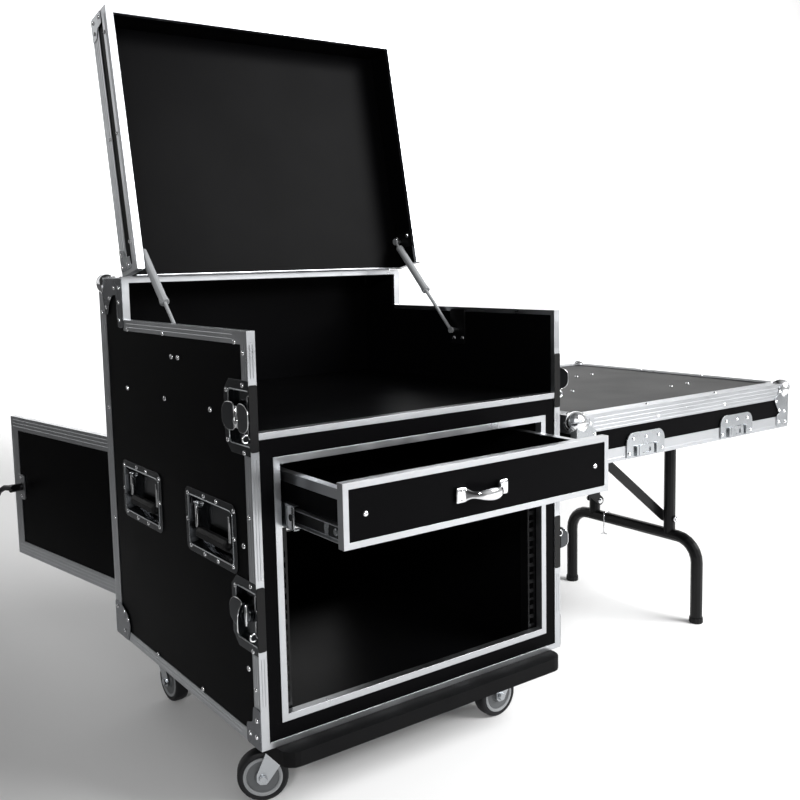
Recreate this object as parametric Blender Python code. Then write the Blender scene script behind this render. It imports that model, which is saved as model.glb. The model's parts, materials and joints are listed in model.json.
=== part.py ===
# Amp rack case on casters: open lid, pulled-out rack drawer, rear door and a
# removable cover that hangs on the right side as a table with a folding leg.
# Metres, +Z up, the case's front looks along -Y, the floor is z = 0.
import bpy
import bmesh
from math import atan2, cos, hypot, pi, radians, sin, tan
from mathutils import Vector

for old in list(bpy.data.objects):
    bpy.data.objects.remove(old, do_unlink=True)

# Driving dimensions of the case
WIDTH = 0.578
DEPTH = 0.548
FOOT_HEIGHT = 0.115
STEP_HEIGHT = 0.575
FULL_HEIGHT = 0.645
ROOF_DEPTH = 0.112
PLY = 0.0095
SHEET = 0.0012
GAP = 0.0003
SKIN = SHEET + GAP
EDGE_WIDE = 0.0125

# Places worked out from them
LEFT = -WIDTH / 2
RIGHT = WIDTH / 2
FRONT = -DEPTH / 2
BACK = DEPTH / 2
BASE = FOOT_HEIGHT
STEP = BASE + STEP_HEIGHT
TOP = BASE + FULL_HEIGHT
ROOF_FRONT = BACK - ROOF_DEPTH
INNER = WIDTH / 2 - EDGE_WIDE - GAP

# Rack bay, drawer and tray
BAY_HALF = 0.2458
BAY_LOW = 0.157
BAY_HIGH = 0.509
TRIM_WIDE = 0.010
TRAY_TOP = 0.554
LINER_FACE = BAY_HALF + SKIN
DRAWER_FRONT = -0.4185
DRAWER_HALF = 0.2413
DRAWER_LOW = 0.422
DRAWER_HIGH = 0.5065
DRAWER_BODY = 0.2310
DRAWER_WALL = 0.009
DRAWER_WALL_TOP = 0.4930
DRAWER_LONG = 0.380
SLIDE_MID = 0.4385
RACK_UNIT = 0.04445

# Lid, struts, rear door
LID_HINGE = (ROOF_FRONT - 0.003, TOP + 0.003)
LID_OPEN = 101.1
LID_DEEP = FULL_HEIGHT - STEP_HEIGHT - GAP
LID_LONG = 0.4330
STRUT_TOP = (-0.046, -0.031)
STRUT_FOOT = (-0.027, 0.648)
STRUT_X = 0.264
DOOR_HINGE = (-0.2400, BACK + 0.0025)
DOOR_OPEN = 100.0
DOOR_LONG = 0.478
DOOR_LOW = 0.160
DOOR_HIGH = 0.464

# Cover that serves as the side table, and its leg
TABLE_LEFT = 0.3157
TABLE_LONG = 0.6247
TABLE_FRONT = -0.286
TABLE_WIDE = 0.570
TABLE_TOP = 0.5105
TABLE_DEEP = 0.090
LEG_X = 0.808
LEG_PIVOT = 0.455
LEG_MID = 0.004
POST_HALF = 0.1045
FOOT_HALF = 0.1745
CROSS_Z = 0.177
TUBE = 0.0125
BRACE_TOP = (0.461, 0.483)
BRACE_FOOT = (0.808, 0.213)
BRACE_Y = POST_HALF - TUBE - 0.0035

# Casters
BOARD_THICK = 0.022
BOARD_HALF = (0.267, 0.303)
KINGPIN = (0.223, 0.212)
TRAIL = 0.030
WHEEL = 0.0375

# Side fittings
HANDLE_Y = (-0.140, 0.119)
HANDLE_Z = 0.399
HANDLE_HALF = (0.083, 0.049)
HANDLE_LIP = 0.011
HANDLE_DEEP = 0.0165
BAIL_Z = HANDLE_Z + 0.0265
BAIL_X = 0.2838
BAIL_DROP = 0.043
LATCH_Z = (0.300, 0.574)
LATCH_REACH = 0.0720
LATCH_HALF = 0.0505
LATCH_CUP = (0.058, 0.0365)
LATCH_DEEP = 0.0080
LATCH_HUB_Y = FRONT + 0.034

# Hinges and folded sheet that bites into the sheet it is welded to
KNUCKLE = 0.0026
KNUCKLES = 23
LID_HINGE_HALF = 0.262
BITE = SHEET / 2

COLOURS = {
    "laminate": ((0.012, 0.012, 0.013), 0.42, 0.0),
    "aluminium": ((0.80, 0.81, 0.82), 0.30, 1.0),
    "zinc": ((0.62, 0.63, 0.64), 0.28, 1.0),
    "chrome": ((0.85, 0.85, 0.86), 0.10, 1.0),
    "black_steel": ((0.015, 0.015, 0.016), 0.40, 0.0),
    "rubber": ((0.03, 0.03, 0.032), 0.70, 0.0),
    "tyre": ((0.10, 0.10, 0.105), 0.60, 0.0),
}


def material(name):
    """The Principled material of this name, made on first use."""
    found = bpy.data.materials.get(name)
    if found:
        return found
    colour, rough, metal = COLOURS[name]
    made = bpy.data.materials.new(name)
    made.use_nodes = True
    shader = made.node_tree.nodes["Principled BSDF"]
    shader.inputs["Base Color"].default_value = (*colour, 1.0)
    shader.inputs["Roughness"].default_value = rough
    shader.inputs["Metallic"].default_value = metal
    made.diffuse_color = (*colour, 1.0)
    return made


def empty(name, place, turn=None):
    """A joint frame: moving pieces hang from it."""
    made = bpy.data.objects.new(name, None)
    made.location = place
    made.empty_display_size = 0.03
    if turn:
        made.rotation_euler = turn
    bpy.context.scene.collection.objects.link(made)
    return made


def node(name, mesh_builder, finish, parent=None):
    """One sub-part: a mesh object with its own name and material."""
    mesh_builder.normal_update()
    bmesh.ops.recalc_face_normals(mesh_builder, faces=mesh_builder.faces[:])
    mesh = bpy.data.meshes.new(name)
    mesh_builder.to_mesh(mesh)
    mesh_builder.free()
    made = bpy.data.objects.new(name, mesh)
    mesh.materials.append(material(finish))
    bpy.context.scene.collection.objects.link(made)
    if parent:
        made.parent = parent
    return made


def cutter(name, mesh_builder):
    """A hidden solid that a Boolean takes away or joins on."""
    made = node(name, mesh_builder, "laminate")
    made.display_type = "WIRE"
    made.hide_render = True
    return made


def boolean(target, tool, operation="DIFFERENCE"):
    change = target.modifiers.new(operation.lower(), "BOOLEAN")
    change.operation = operation
    change.solver = "EXACT"
    change.object = tool
    return tool


def weld(target, mesh_builder, label, parent=None):
    """Join another solid, which overlaps the target a little, onto it."""
    tool = boolean(target, cutter(target.name + "_" + label, mesh_builder), "UNION")
    tool.parent = parent
    return tool


def both_sides(bm):
    """Repeat what is in the mesh so far on the other side of the case's middle plane."""
    copy = bmesh.ops.duplicate(bm, geom=bm.verts[:] + bm.edges[:] + bm.faces[:])["geom"]
    for item in copy:
        if isinstance(item, bmesh.types.BMVert):
            item.co.x = -item.co.x


def block(bm, low, high):
    """A closed rectangular board between two corners."""
    made = bmesh.ops.create_cube(bm, size=1.0)["verts"]
    low = Vector(low)
    high = Vector(high)
    for vert in made:
        vert.co = (low + high) / 2 + Vector(a * b for a, b in zip(vert.co, high - low))
    return made


def prism(bm, outline, axis, start, end):
    """Extrude a flat outline along X, Y or Z. The outline gives the other two axes in order."""
    def place(point, along):
        if axis == "x":
            return (along, point[0], point[1])
        if axis == "y":
            return (point[0], along, point[1])
        return (point[0], point[1], along)
    ring_stack(bm, [[place(p, along) for p in outline] for along in (start, end)])


def rounded(half_a, half_b, radius, steps=3, centre=(0.0, 0.0)):
    """Outline of a rounded rectangle."""
    points = []
    for turn, (sa, sb) in enumerate(((1, 1), (-1, 1), (-1, -1), (1, -1))):
        for step in range(steps + 1):
            angle_here = pi / 2 * (turn + step / steps)
            points.append((centre[0] + sa * (half_a - radius) + radius * cos(angle_here),
                           centre[1] + sb * (half_b - radius) + radius * sin(angle_here)))
    return points


def disc(bm, radius, axis, start, end, centre, sides=16):
    """A closed cylinder along X, Y or Z."""
    ring = [(centre[0] + radius * cos(2 * pi * i / sides), centre[1] + radius * sin(2 * pi * i / sides))
            for i in range(sides)]
    prism(bm, ring, axis, start, end)


def ring_stack(bm, rings):
    """Close a solid through a list of matching rings of points, capped at both ends."""
    made = [[bm.verts.new(p) for p in ring] for ring in rings]
    count = len(made[0])
    for a, b in zip(made, made[1:]):
        for i in range(count):
            j = (i + 1) % count
            bm.faces.new((a[i], a[j], b[j], b[i]))
    bm.faces.new(made[0][::-1])
    bm.faces.new(made[-1])


def edge_run(bm, section, path, frame, closed=False):
    """Run a folded-sheet section along a mitred path.

    section: points (depth across the board, distance in from the edge)
    path: points in the plane, with the board on the left of the direction of travel
    frame: (u vector, v vector, depth vector, origin)
    """
    u_axis, v_axis, depth_axis, origin = (Vector(v) for v in frame)
    count = len(path)
    rings = []
    for i in range(count):
        here = Vector(path[i])
        before = (here - Vector(path[i - 1])).normalized() if closed or i > 0 else None
        after = (Vector(path[(i + 1) % count]) - here).normalized() if closed or i < count - 1 else None
        before = before or after
        after = after or before
        left_a = Vector((-before.y, before.x))
        left_b = Vector((-after.y, after.x))
        miter = (left_a + left_b) / (1.0 + left_a.dot(left_b))
        ring = []
        for depth, inset in section:
            spot = here + miter * inset
            ring.append(bm.verts.new(origin + u_axis * spot.x + v_axis * spot.y + depth_axis * depth))
        rings.append(ring)
    size = len(section)
    pairs = list(zip(rings, rings[1:]))
    if closed:
        pairs.append((rings[-1], rings[0]))
    for a, b in pairs:
        for i in range(size):
            j = (i + 1) % size
            bm.faces.new((a[i], a[j], b[j], b[i]))
    if not closed:
        bm.faces.new(rings[0][::-1])
        bm.faces.new(rings[-1])


def channel(across, outer, inner, sheet=SHEET):
    """U section: flanges on both faces of a board and a web over its edge."""
    return [(0, 0), (across, 0), (across, inner), (across - sheet, inner),
            (across - sheet, sheet), (sheet, sheet), (sheet, outer), (0, outer)]


def angle(across, outer, sheet=SHEET):
    """L section: one flange on the board's face, one over its edge."""
    return [(0, 0), (across, 0), (across, sheet), (sheet, sheet), (sheet, outer), (0, outer)]


def fillet(points, radius, steps=5):
    """Round the inner corners of a polyline into arcs."""
    smooth = [Vector(points[0])]
    for i in range(1, len(points) - 1):
        here = Vector(points[i])
        back_way = (Vector(points[i - 1]) - here).normalized()
        ahead = (Vector(points[i + 1]) - here).normalized()
        half = back_way.angle(ahead) / 2
        reach = radius / tan(half)
        middle = here + (back_way + ahead).normalized() * (radius / sin(half))
        first = (here + back_way * reach - middle).normalized()
        last = (here + ahead * reach - middle).normalized()
        for step in range(steps + 1):
            smooth.append(middle + first.slerp(last, step / steps) * radius)
    smooth.append(Vector(points[-1]))
    return smooth


def tube(bm, path, radii, sides=8, squash=1.0):
    """A round bar along a path; radii is one value or one for each point."""
    points = [Vector(p) for p in path]
    if not hasattr(radii, "__len__"):
        radii = [radii] * len(points)
    normal = None
    rings = []
    for i, here in enumerate(points):
        ahead = points[min(i + 1, len(points) - 1)]
        behind = points[max(i - 1, 0)]
        way = (ahead - behind).normalized()
        if normal is None:
            normal = way.orthogonal().normalized()
        normal = (normal - way * normal.dot(way)).normalized()
        side = way.cross(normal)
        rings.append([here + normal * radii[i] * squash * cos(2 * pi * k / sides)
                      + side * radii[i] * sin(2 * pi * k / sides) for k in range(sides)])
    ring_stack(bm, rings)


def dish(bm, half_a, half_b, lip, deep, radius, place):
    """A pressed dish: a flat lip round a bowl, as one thin closed sheet."""
    inner = (half_a - lip, half_b - lip)
    steps = ((inner[0] - 0.004, inner[1] - 0.004, radius * 0.5, deep),
             (inner[0], inner[1], radius * 0.6, 0.0),
             (half_a, half_b, radius, 0.0),
             (half_a, half_b, radius, SHEET),
             (inner[0] + SHEET, inner[1] + SHEET, radius * 0.6 + SHEET, SHEET),
             (inner[0] - 0.004 + SHEET, inner[1] - 0.004 + SHEET, radius * 0.5 + SHEET, deep + SHEET))
    rings = [[place(a, b, depth) for a, b in rounded(ha, hb, r)] for ha, hb, r, depth in steps]
    ring_stack(bm, rings)


def corner_domes(target, corners, low, high):
    """Weld a pressed dome over each outer corner of the box between low and high."""
    bm = bmesh.new()
    for corner, inward in corners:
        centre = Vector(corner) + Vector(inward) * 0.0085
        for vert in bmesh.ops.create_uvsphere(bm, u_segments=12, v_segments=8, radius=0.0150)["verts"]:
            vert.co += centre
    domes = weld(target, bm, "domes")
    inset = Vector((BITE, BITE, BITE))
    bm = bmesh.new()
    block(bm, Vector(low) + inset, Vector(high) - inset)
    boolean(domes, cutter(target.name + "_dome_room", bm))


def side_outline():
    """The stepped side board, as (y, z) points."""
    return [(FRONT + SKIN, BASE + SKIN), (BACK - SKIN, BASE + SKIN), (BACK - SKIN, TOP - SKIN),
            (ROOF_FRONT + SKIN, TOP - SKIN), (ROOF_FRONT + SKIN, STEP - SKIN), (FRONT + SKIN, STEP - SKIN)]


def hand(side):
    return "right" if side > 0 else "left"


def side_board(side):
    """One stepped side board with pockets for two handles and two latches."""
    bm = bmesh.new()
    face = side * (WIDTH / 2 - SKIN)
    prism(bm, side_outline(), "x", face, face - side * PLY)
    board = node("side_panel_" + hand(side), bm, "laminate")
    bm = bmesh.new()
    outside = side * (WIDTH / 2 + 0.01)
    inside = side * (WIDTH / 2 - 0.02)
    for y in HANDLE_Y:
        half = [h - HANDLE_LIP + SHEET + 0.0006 for h in HANDLE_HALF]
        prism(bm, rounded(half[0], half[1], 0.006, 2, (y, HANDLE_Z)), "x", outside, inside)
    floor = side * (WIDTH / 2 - LATCH_DEEP - SHEET - GAP)
    for z in LATCH_Z:
        room = LATCH_CUP[1] + SHEET + GAP
        low = (min(outside, floor), FRONT - 0.01, z - room)
        high = (max(outside, floor), FRONT + LATCH_CUP[0] + SHEET + GAP, z + room)
        block(bm, low, high)
    boolean(board, cutter("pockets_" + hand(side), bm))


def boards():
    """Sleeve of the rack bay, tray, roof, back with its hatch, and the black frame of the front."""
    back_inner = BACK - SKIN - PLY
    roof_low = TOP - SKIN - PLY
    tray_high = TRAY_TOP - SKIN
    tray_low = tray_high - 0.009
    frame_back = FRONT + SKIN + 0.012
    floor_low = BASE + SKIN
    floor_high = floor_low + PLY
    wall = LINER_FACE + 0.009
    wall_high = tray_low - GAP

    bm = bmesh.new()
    half = [(INNER, floor_low), (INNER, floor_high), (wall, floor_high), (wall, wall_high),
            (LINER_FACE, wall_high), (LINER_FACE, floor_high)]
    outline = half + [(-x, z) for x, z in reversed(half)]
    prism(bm, outline, "y", frame_back + GAP, back_inner - GAP)
    node("bay_sleeve", bm, "laminate")

    bm = bmesh.new()
    block(bm, (-INNER, FRONT + SKIN, tray_low), (INNER, back_inner - GAP, tray_high))
    node("tray_shelf", bm, "laminate")

    bm = bmesh.new()
    block(bm, (-INNER, ROOF_FRONT + SKIN, roof_low), (INNER, BACK - SKIN, TOP - SKIN))
    node("roof_panel", bm, "laminate")

    bm = bmesh.new()
    block(bm, (-INNER, back_inner, floor_low), (INNER, BACK - SKIN, roof_low - GAP))
    back = node("back_panel", bm, "laminate")
    bm = bmesh.new()
    prism(bm, rounded(0.196, 0.098, 0.012, 3, (0.0, 0.336)), "y", BACK - 0.05, BACK + 0.05)
    boolean(back, cutter("rear_hatch", bm))

    bm = bmesh.new()
    block(bm, (-INNER, FRONT + SKIN, floor_low), (INNER, frame_back, wall_high))
    front = node("front_frame", bm, "laminate")
    bm = bmesh.new()
    low = (-LINER_FACE, FRONT - 0.05, BAY_LOW - SKIN)
    high = (LINER_FACE, FRONT + 0.05, BAY_HIGH + SKIN)
    block(bm, low, high)
    boolean(front, cutter("bay_mouth", bm))


def opening_trim():
    """Bright lip round the rack bay, mitred at its corners."""
    bm = bmesh.new()
    corners = [(BAY_HALF, BAY_LOW), (-BAY_HALF, BAY_LOW), (-BAY_HALF, BAY_HIGH), (BAY_HALF, BAY_HIGH)]
    frame = ((1, 0, 0), (0, 0, 1), (0, 1, 0), (0, FRONT, 0))
    edge_run(bm, angle(0.0130, TRIM_WIDE), corners, frame, closed=True)
    node("opening_trim", bm, "aluminium")


def case_edges():
    """Folded edge sections: a mitred run round roof and back, one round step, front and floor."""
    tall = channel(EDGE_WIDE, 0.029, 0.008)
    slim = channel(EDGE_WIDE, 0.018, 0.008)
    frame = ((0, 1, 0), (0, 0, 1), (1, 0, 0), (LEFT, 0, 0))
    bm = bmesh.new()
    edge_run(bm, tall, [(BACK, BASE), (BACK, TOP), (ROOF_FRONT, TOP), (ROOF_FRONT, STEP - SHEET)], frame)
    both_sides(bm)
    edges = node("case_edge_frame", bm, "aluminium")
    bm = bmesh.new()
    path = [(ROOF_FRONT + SHEET, STEP), (FRONT, STEP), (FRONT, BASE), (BACK - 0.006, BASE)]
    edge_run(bm, slim, path, frame)
    both_sides(bm)
    weld(edges, bm, "front_runs")
    bm = bmesh.new()
    cross_edges(bm)
    weld(edges, bm, "cross_runs")
    bm = bmesh.new()
    strut_bracket(bm, STRUT_FOOT[0], 0.630, STEP - 0.005)
    both_sides(bm)
    weld(edges, bm, "strut_brackets")
    bm = bmesh.new()
    strut_stud(bm, *STRUT_FOOT)
    both_sides(bm)
    weld(edges, bm, "strut_studs")
    roof_leaf(edges)
    back_leaf(edges)
    corners = [((LEFT, BACK, TOP), (1, -1, -1)), ((RIGHT, BACK, TOP), (-1, -1, -1))]
    corner_domes(edges, corners, (LEFT, 0.2, 0.70), (RIGHT, BACK, TOP))
    depth = LEFT + LATCH_DEEP + SHEET + GAP
    cup = LATCH_CUP[1] + SHEET + GAP
    lip = LATCH_HALF + GAP
    cups = bmesh.new()
    lips = bmesh.new()
    for z in LATCH_Z:
        block(cups, (LEFT - 0.01, FRONT - 0.010, z - cup), (depth, FRONT + 0.030, z + cup))
        block(lips, (LEFT - 0.02, FRONT + GAP / 2, z - lip), (LEFT + SKIN, FRONT + 0.040, z + lip))
    for label, notch in (("cup_notches", cups), ("lip_notches", lips)):
        both_sides(notch)
        boolean(edges, cutter(label, notch))


def cross_edges(bm):
    """Angles along the edges that run across the case."""
    half = WIDTH / 2 - EDGE_WIDE + BITE
    bright = 0.009
    strips = ((FRONT, BASE, 1, 0.020), (FRONT, TRAY_TOP, -1, 0.015), (ROOF_FRONT, TOP, -1, 0.015))
    for y, z, way, shelf in strips:
        outline = [(y, z), (y + shelf, z), (y + shelf, z + way * SHEET), (y + SHEET, z + way * SHEET),
                   (y + SHEET, z + way * bright), (y, z + way * bright)]
        prism(bm, outline, "x", -half, half)
    wide = 0.029
    for z, way in ((TOP, -1), (BASE, 1)):
        outline = [(BACK, z), (BACK - wide, z), (BACK - wide, z + way * SHEET),
                   (BACK - SHEET, z + way * SHEET), (BACK - SHEET, z + way * wide), (BACK, z + way * wide)]
        prism(bm, outline, "x", -half, half)


def strut_bracket(bm, y, low, high):
    """Plate on a wall's inner face that carries a strut's stud."""
    face = LEFT + SKIN + PLY + 2 * GAP
    middle = (low + high) / 2
    prism(bm, rounded(0.013, (high - low) / 2, 0.005, 2, (y, middle)), "x", face, face + 0.0024)


def strut_stud(bm, y, z):
    face = LEFT + SKIN + PLY + 2 * GAP
    disc(bm, 0.0040, "x", face + SHEET, -STRUT_X - 0.0034, (y, z), 8)


def knuckle_row(bm, first, half, count, radius, axis, centre=0.0):
    """Every second knuckle of a piano hinge along X or Z, on its axis."""
    pitch = 2 * half / count
    spans = []
    for k in range(first, count, 2):
        start = centre - half + k * pitch + GAP / 2
        spans.append((start, start + pitch - GAP))
        disc(bm, radius, axis, *spans[-1], (0.0, 0.0), 8)
    return spans


def roof_leaf(edges):
    """The case's half of the lid hinge: leaf, tabs and knuckles."""
    place = empty("roof_leaf_place", (0, *LID_HINGE))
    top = TOP - LID_HINGE[1]
    bm = bmesh.new()
    block(bm, (-LID_HINGE_HALF, 0.0033, top - BITE), (LID_HINGE_HALF, 0.022, top + 0.0010))
    weld(edges, bm, "roof_leaf", place)
    bm = bmesh.new()
    spans = knuckle_row(bm, 0, LID_HINGE_HALF, KNUCKLES, KNUCKLE, "x")
    weld(edges, bm, "roof_knuckles", place)
    bm = bmesh.new()
    for start, end in spans:
        block(bm, (start, 0.0005, top + GAP), (end, 0.0050, top + 0.0016))
    weld(edges, bm, "roof_tabs", place)


def back_leaf(edges):
    """The case's half of the rear door's hinge."""
    place = empty("back_leaf_place", (*DOOR_HINGE, 0))
    half = (DOOR_HIGH - DOOR_LOW) / 2 - 0.006
    middle = (DOOR_HIGH + DOOR_LOW) / 2
    bm = bmesh.new()
    block(bm, (-0.0380, -0.0031, middle - half), (-0.0034, -0.0009, middle + half))
    weld(edges, bm, "back_leaf", place)
    bm = bmesh.new()
    spans = knuckle_row(bm, 0, half, 9, 0.0017, "z", middle)
    weld(edges, bm, "back_knuckles", place)
    bm = bmesh.new()
    for start, end in spans:
        block(bm, (-0.0050, -0.0014, start), (-0.0004, -0.0004, end))
    weld(edges, bm, "back_tabs", place)


def rack_rails():
    """Rails with square holes at the three-hole rack pitch, which also carry the drawer's slides."""
    for side in (-1, 1):
        face = FRONT + 0.0165
        low = BASE + SKIN + PLY + GAP
        high = 0.4155
        wall = LINER_FACE - GAP
        outline = [(wall, face), (wall, face + 0.034), (wall - SHEET, face + 0.034),
                   (wall - SHEET, face + SHEET), (wall - 0.0170, face + SHEET), (wall - 0.0170, face)]
        bm = bmesh.new()
        prism(bm, [(side * x, y) for x, y in outline], "z", low, high)
        rail = node("rack_rail_" + hand(side), bm, "zinc")
        bm = bmesh.new()
        slide_member(bm, side, wall, 0.2365, 0.0200, face, 0.140)
        weld(rail, bm, "slide")
        bm = bmesh.new()
        x0, x1 = sorted((side * wall, side * (wall - SHEET)))
        block(bm, (x0, face, high - 0.010), (x1, face + 0.034, SLIDE_MID - 0.0100))
        weld(rail, bm, "tie")
        bm = bmesh.new()
        centre = side * (wall - 0.0090)
        half = 0.0047
        for unit in range(5):
            for offset in (0.00635, 0.02222, 0.03810):
                z = 0.162 + unit * RACK_UNIT + offset
                block(bm, (centre - half, face - 0.01, z - half), (centre + half, face + 0.01, z + half))
        boolean(rail, cutter("rail_holes_" + hand(side), bm))


def handle_dish(side, y, label):
    """Recessed handle dish with the two bosses that carry its bail."""
    bm = bmesh.new()
    face = side * WIDTH / 2
    dish(bm, HANDLE_HALF[0], HANDLE_HALF[1], HANDLE_LIP, HANDLE_DEEP, 0.012,
         lambda a, b, depth: (face - side * depth, y + a, HANDLE_Z + b))
    made = node("handle_dish_" + label, bm, "zinc")
    bm = bmesh.new()
    x0, x1 = sorted((face - side * 0.0008, face - side * (HANDLE_DEEP + BITE)))
    for way in (-1, 1):
        y0, y1 = sorted((y + way * 0.0600, y + way * 0.0640))
        block(bm, (x0, y0, BAIL_Z - 0.006), (x1, y1, BAIL_Z + 0.006))
    weld(made, bm, "bosses")


def bail(side, y, label):
    """Sprung bail: trunnions, arms and a thick rubber grip, hanging in its dish."""
    hinge = empty("bail_axis_" + label, (side * BAIL_X, y, BAIL_Z))
    bm = bmesh.new()
    half = 0.0540
    corners = [(0, -0.0590, 0), (0, -half, 0), (0, -half, -BAIL_DROP), (0, -0.0470, -BAIL_DROP)]
    path = fillet(corners, 0.0045, 2)
    radii = [0.0028] * len(path)
    grip = [Vector((0, along, -BAIL_DROP)) for along in (-0.0465, -0.0445, 0.0445, 0.0465)]
    thick = [0.0060, 0.0085, 0.0085, 0.0060]
    back = [Vector((p.x, -p.y, p.z)) for p in reversed(path)]
    tube(bm, path + grip + back, radii + thick + radii, 8)
    node("handle_bail_" + label, bm, "rubber", hinge)


def latch_dish(side, z, label):
    """Recessed latch dish, open at the front edge where the cover's catches meet it."""
    face = side * WIDTH / 2
    reach = LATCH_REACH
    bm = bmesh.new()
    half = [(FRONT + GAP, LATCH_HALF), (FRONT + reach - 0.016, LATCH_HALF),
            (FRONT + reach, LATCH_HALF - 0.016)]
    outline = [(y, z - b) for y, b in half] + [(y, z + b) for y, b in reversed(half)]
    prism(bm, outline, "x", face, face - side * SHEET)
    made = node("latch_dish_" + label, bm, "zinc")
    cup = LATCH_CUP
    bm = bmesh.new()
    x0, x1 = sorted((face, face - side * (LATCH_DEEP + SHEET)))
    block(bm, (x0, FRONT + GAP, z - cup[1] - SHEET), (x1, FRONT + cup[0] + SHEET, z + cup[1] + SHEET))
    weld(made, bm, "cup")
    bm = bmesh.new()
    x0, x1 = sorted((face + side * 0.01, face - side * LATCH_DEEP))
    block(bm, (x0, FRONT - 0.01, z - cup[1]), (x1, FRONT + cup[0], z + cup[1]))
    boolean(made, cutter("latch_room_" + label, bm))


def latch_wing(side, z, turn, label):
    """Butterfly latch: a round cam and two finger wings that stand up from it."""
    axis = empty("latch_axis_" + label, (side * WIDTH / 2, LATCH_HUB_Y, z), (radians(turn), 0, 0))
    floor = -side * (LATCH_DEEP - 0.0004)
    bm = bmesh.new()
    disc(bm, 0.0115, "x", floor, floor + side * 0.0045, (0.0, 0.0), 12)
    made = node("latch_wing_" + label, bm, "chrome", axis)
    base = floor + side * 0.0030
    bm = bmesh.new()
    for way in (-1, 1):
        outline = [(way * 0.0030, base), (way * 0.0100, base), (way * 0.0195, base + side * 0.0050),
                   (way * 0.0200, base + side * 0.0290), (way * 0.0120, base + side * 0.0325),
                   (way * 0.0030, base + side * 0.0150)]
        ring_stack(bm, [[(x, y, along) for along, x in outline] for y in (-0.0012, 0.0012)])
    weld(made, bm, "leaves", axis)


def lid():
    """Lid, built closed in its hinge's own frame and then turned open."""
    hinge = empty("lid_axis", (0, *LID_HINGE), (radians(-LID_OPEN), 0, 0))
    top = TOP - LID_HINGE[1]
    rim = top - LID_DEEP
    back_end = ROOF_FRONT - GAP - LID_HINGE[0]
    front_end = -LID_LONG
    side = WIDTH / 2

    bm = bmesh.new()
    block(bm, (-side + SKIN, front_end + SKIN, rim + SKIN), (side - SKIN, back_end - SKIN, top - SKIN))
    shell = node("lid_shell", bm, "laminate", hinge)
    wall = SKIN + PLY
    bm = bmesh.new()
    block(bm, (-side + wall, front_end + wall, rim - 0.05), (side - wall, back_end + 0.05, top - wall))
    boolean(shell, cutter("lid_room", bm)).parent = hinge
    lid_edges(hinge, top, rim, front_end, back_end)


def lid_edges(hinge, top, rim, front_end, back_end):
    """Edge angles of the lid's roof, U channel round its rim, strut brackets and hinge leaf."""
    side = WIDTH / 2
    three_sides = [(-side, back_end), (-side, front_end), (side, front_end), (side, back_end)]
    bm = bmesh.new()
    edge_run(bm, angle(0.0285, 0.029), three_sides, ((1, 0, 0), (0, 1, 0), (0, 0, -1), (0, 0, top)))
    edges = node("lid_edge_frame", bm, "aluminium", hinge)
    bm = bmesh.new()
    lip = [(0.0, 0.0), (0.0, EDGE_WIDE), (0.008, EDGE_WIDE), (0.008, EDGE_WIDE - SHEET),
           (SHEET, EDGE_WIDE - SHEET), (SHEET, SHEET), (0.020, SHEET), (0.020, 0.0)]
    edge_run(bm, lip, three_sides, ((1, 0, 0), (0, 1, 0), (0, 0, 1), (0, 0, rim)))
    weld(edges, bm, "rim", hinge)
    bm = bmesh.new()
    outline = [(back_end, top), (back_end - 0.020, top), (back_end - 0.020, top - SHEET),
               (back_end - SHEET, top - SHEET), (back_end - SHEET, top - EDGE_WIDE),
               (back_end, top - EDGE_WIDE)]
    prism(bm, outline, "x", -side + 0.020, side - 0.020)
    weld(edges, bm, "hinge_edge", hinge)
    bm = bmesh.new()
    for x, inward_x in ((-side, 1), (side, -1)):
        for y, inward_y in ((front_end, 1), (back_end, -1)):
            corner_post(bm, x, y, inward_x, inward_y, rim + 0.010, top - 0.010)
    weld(edges, bm, "posts", hinge)
    y, z = STRUT_TOP
    bm = bmesh.new()
    strut_bracket(bm, y, rim + 0.004, z + 0.014)
    both_sides(bm)
    weld(edges, bm, "strut_brackets", hinge)
    bm = bmesh.new()
    strut_stud(bm, y, z)
    both_sides(bm)
    weld(edges, bm, "strut_studs", hinge)
    bm = bmesh.new()
    block(bm, (-LID_HINGE_HALF, -0.024, top - BITE), (LID_HINGE_HALF, -0.0033, top + 0.0010))
    weld(edges, bm, "leaf", hinge)
    bm = bmesh.new()
    spans = knuckle_row(bm, 1, LID_HINGE_HALF, KNUCKLES, KNUCKLE, "x")
    weld(edges, bm, "knuckles", hinge)
    bm = bmesh.new()
    for start, end in spans:
        block(bm, (start, -0.0050, top + GAP), (end, -0.0005, top + 0.0016))
    weld(edges, bm, "tabs", hinge)


def corner_post(bm, x, y, inward_x, inward_y, low, high, wide=EDGE_WIDE):
    """Folded angle down a vertical corner edge."""
    outline = [(x, y), (x + inward_x * wide, y), (x + inward_x * wide, y + inward_y * SHEET),
               (x + inward_x * SHEET, y + inward_y * SHEET), (x + inward_x * SHEET, y + inward_y * wide),
               (x, y + inward_y * wide)]
    prism(bm, outline, "z", low, high)


def turned(point, degrees_about_x):
    """Turn a (y, z) point about the origin."""
    a = radians(degrees_about_x)
    return (point[0] * cos(a) - point[1] * sin(a), point[0] * sin(a) + point[1] * cos(a))


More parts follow.
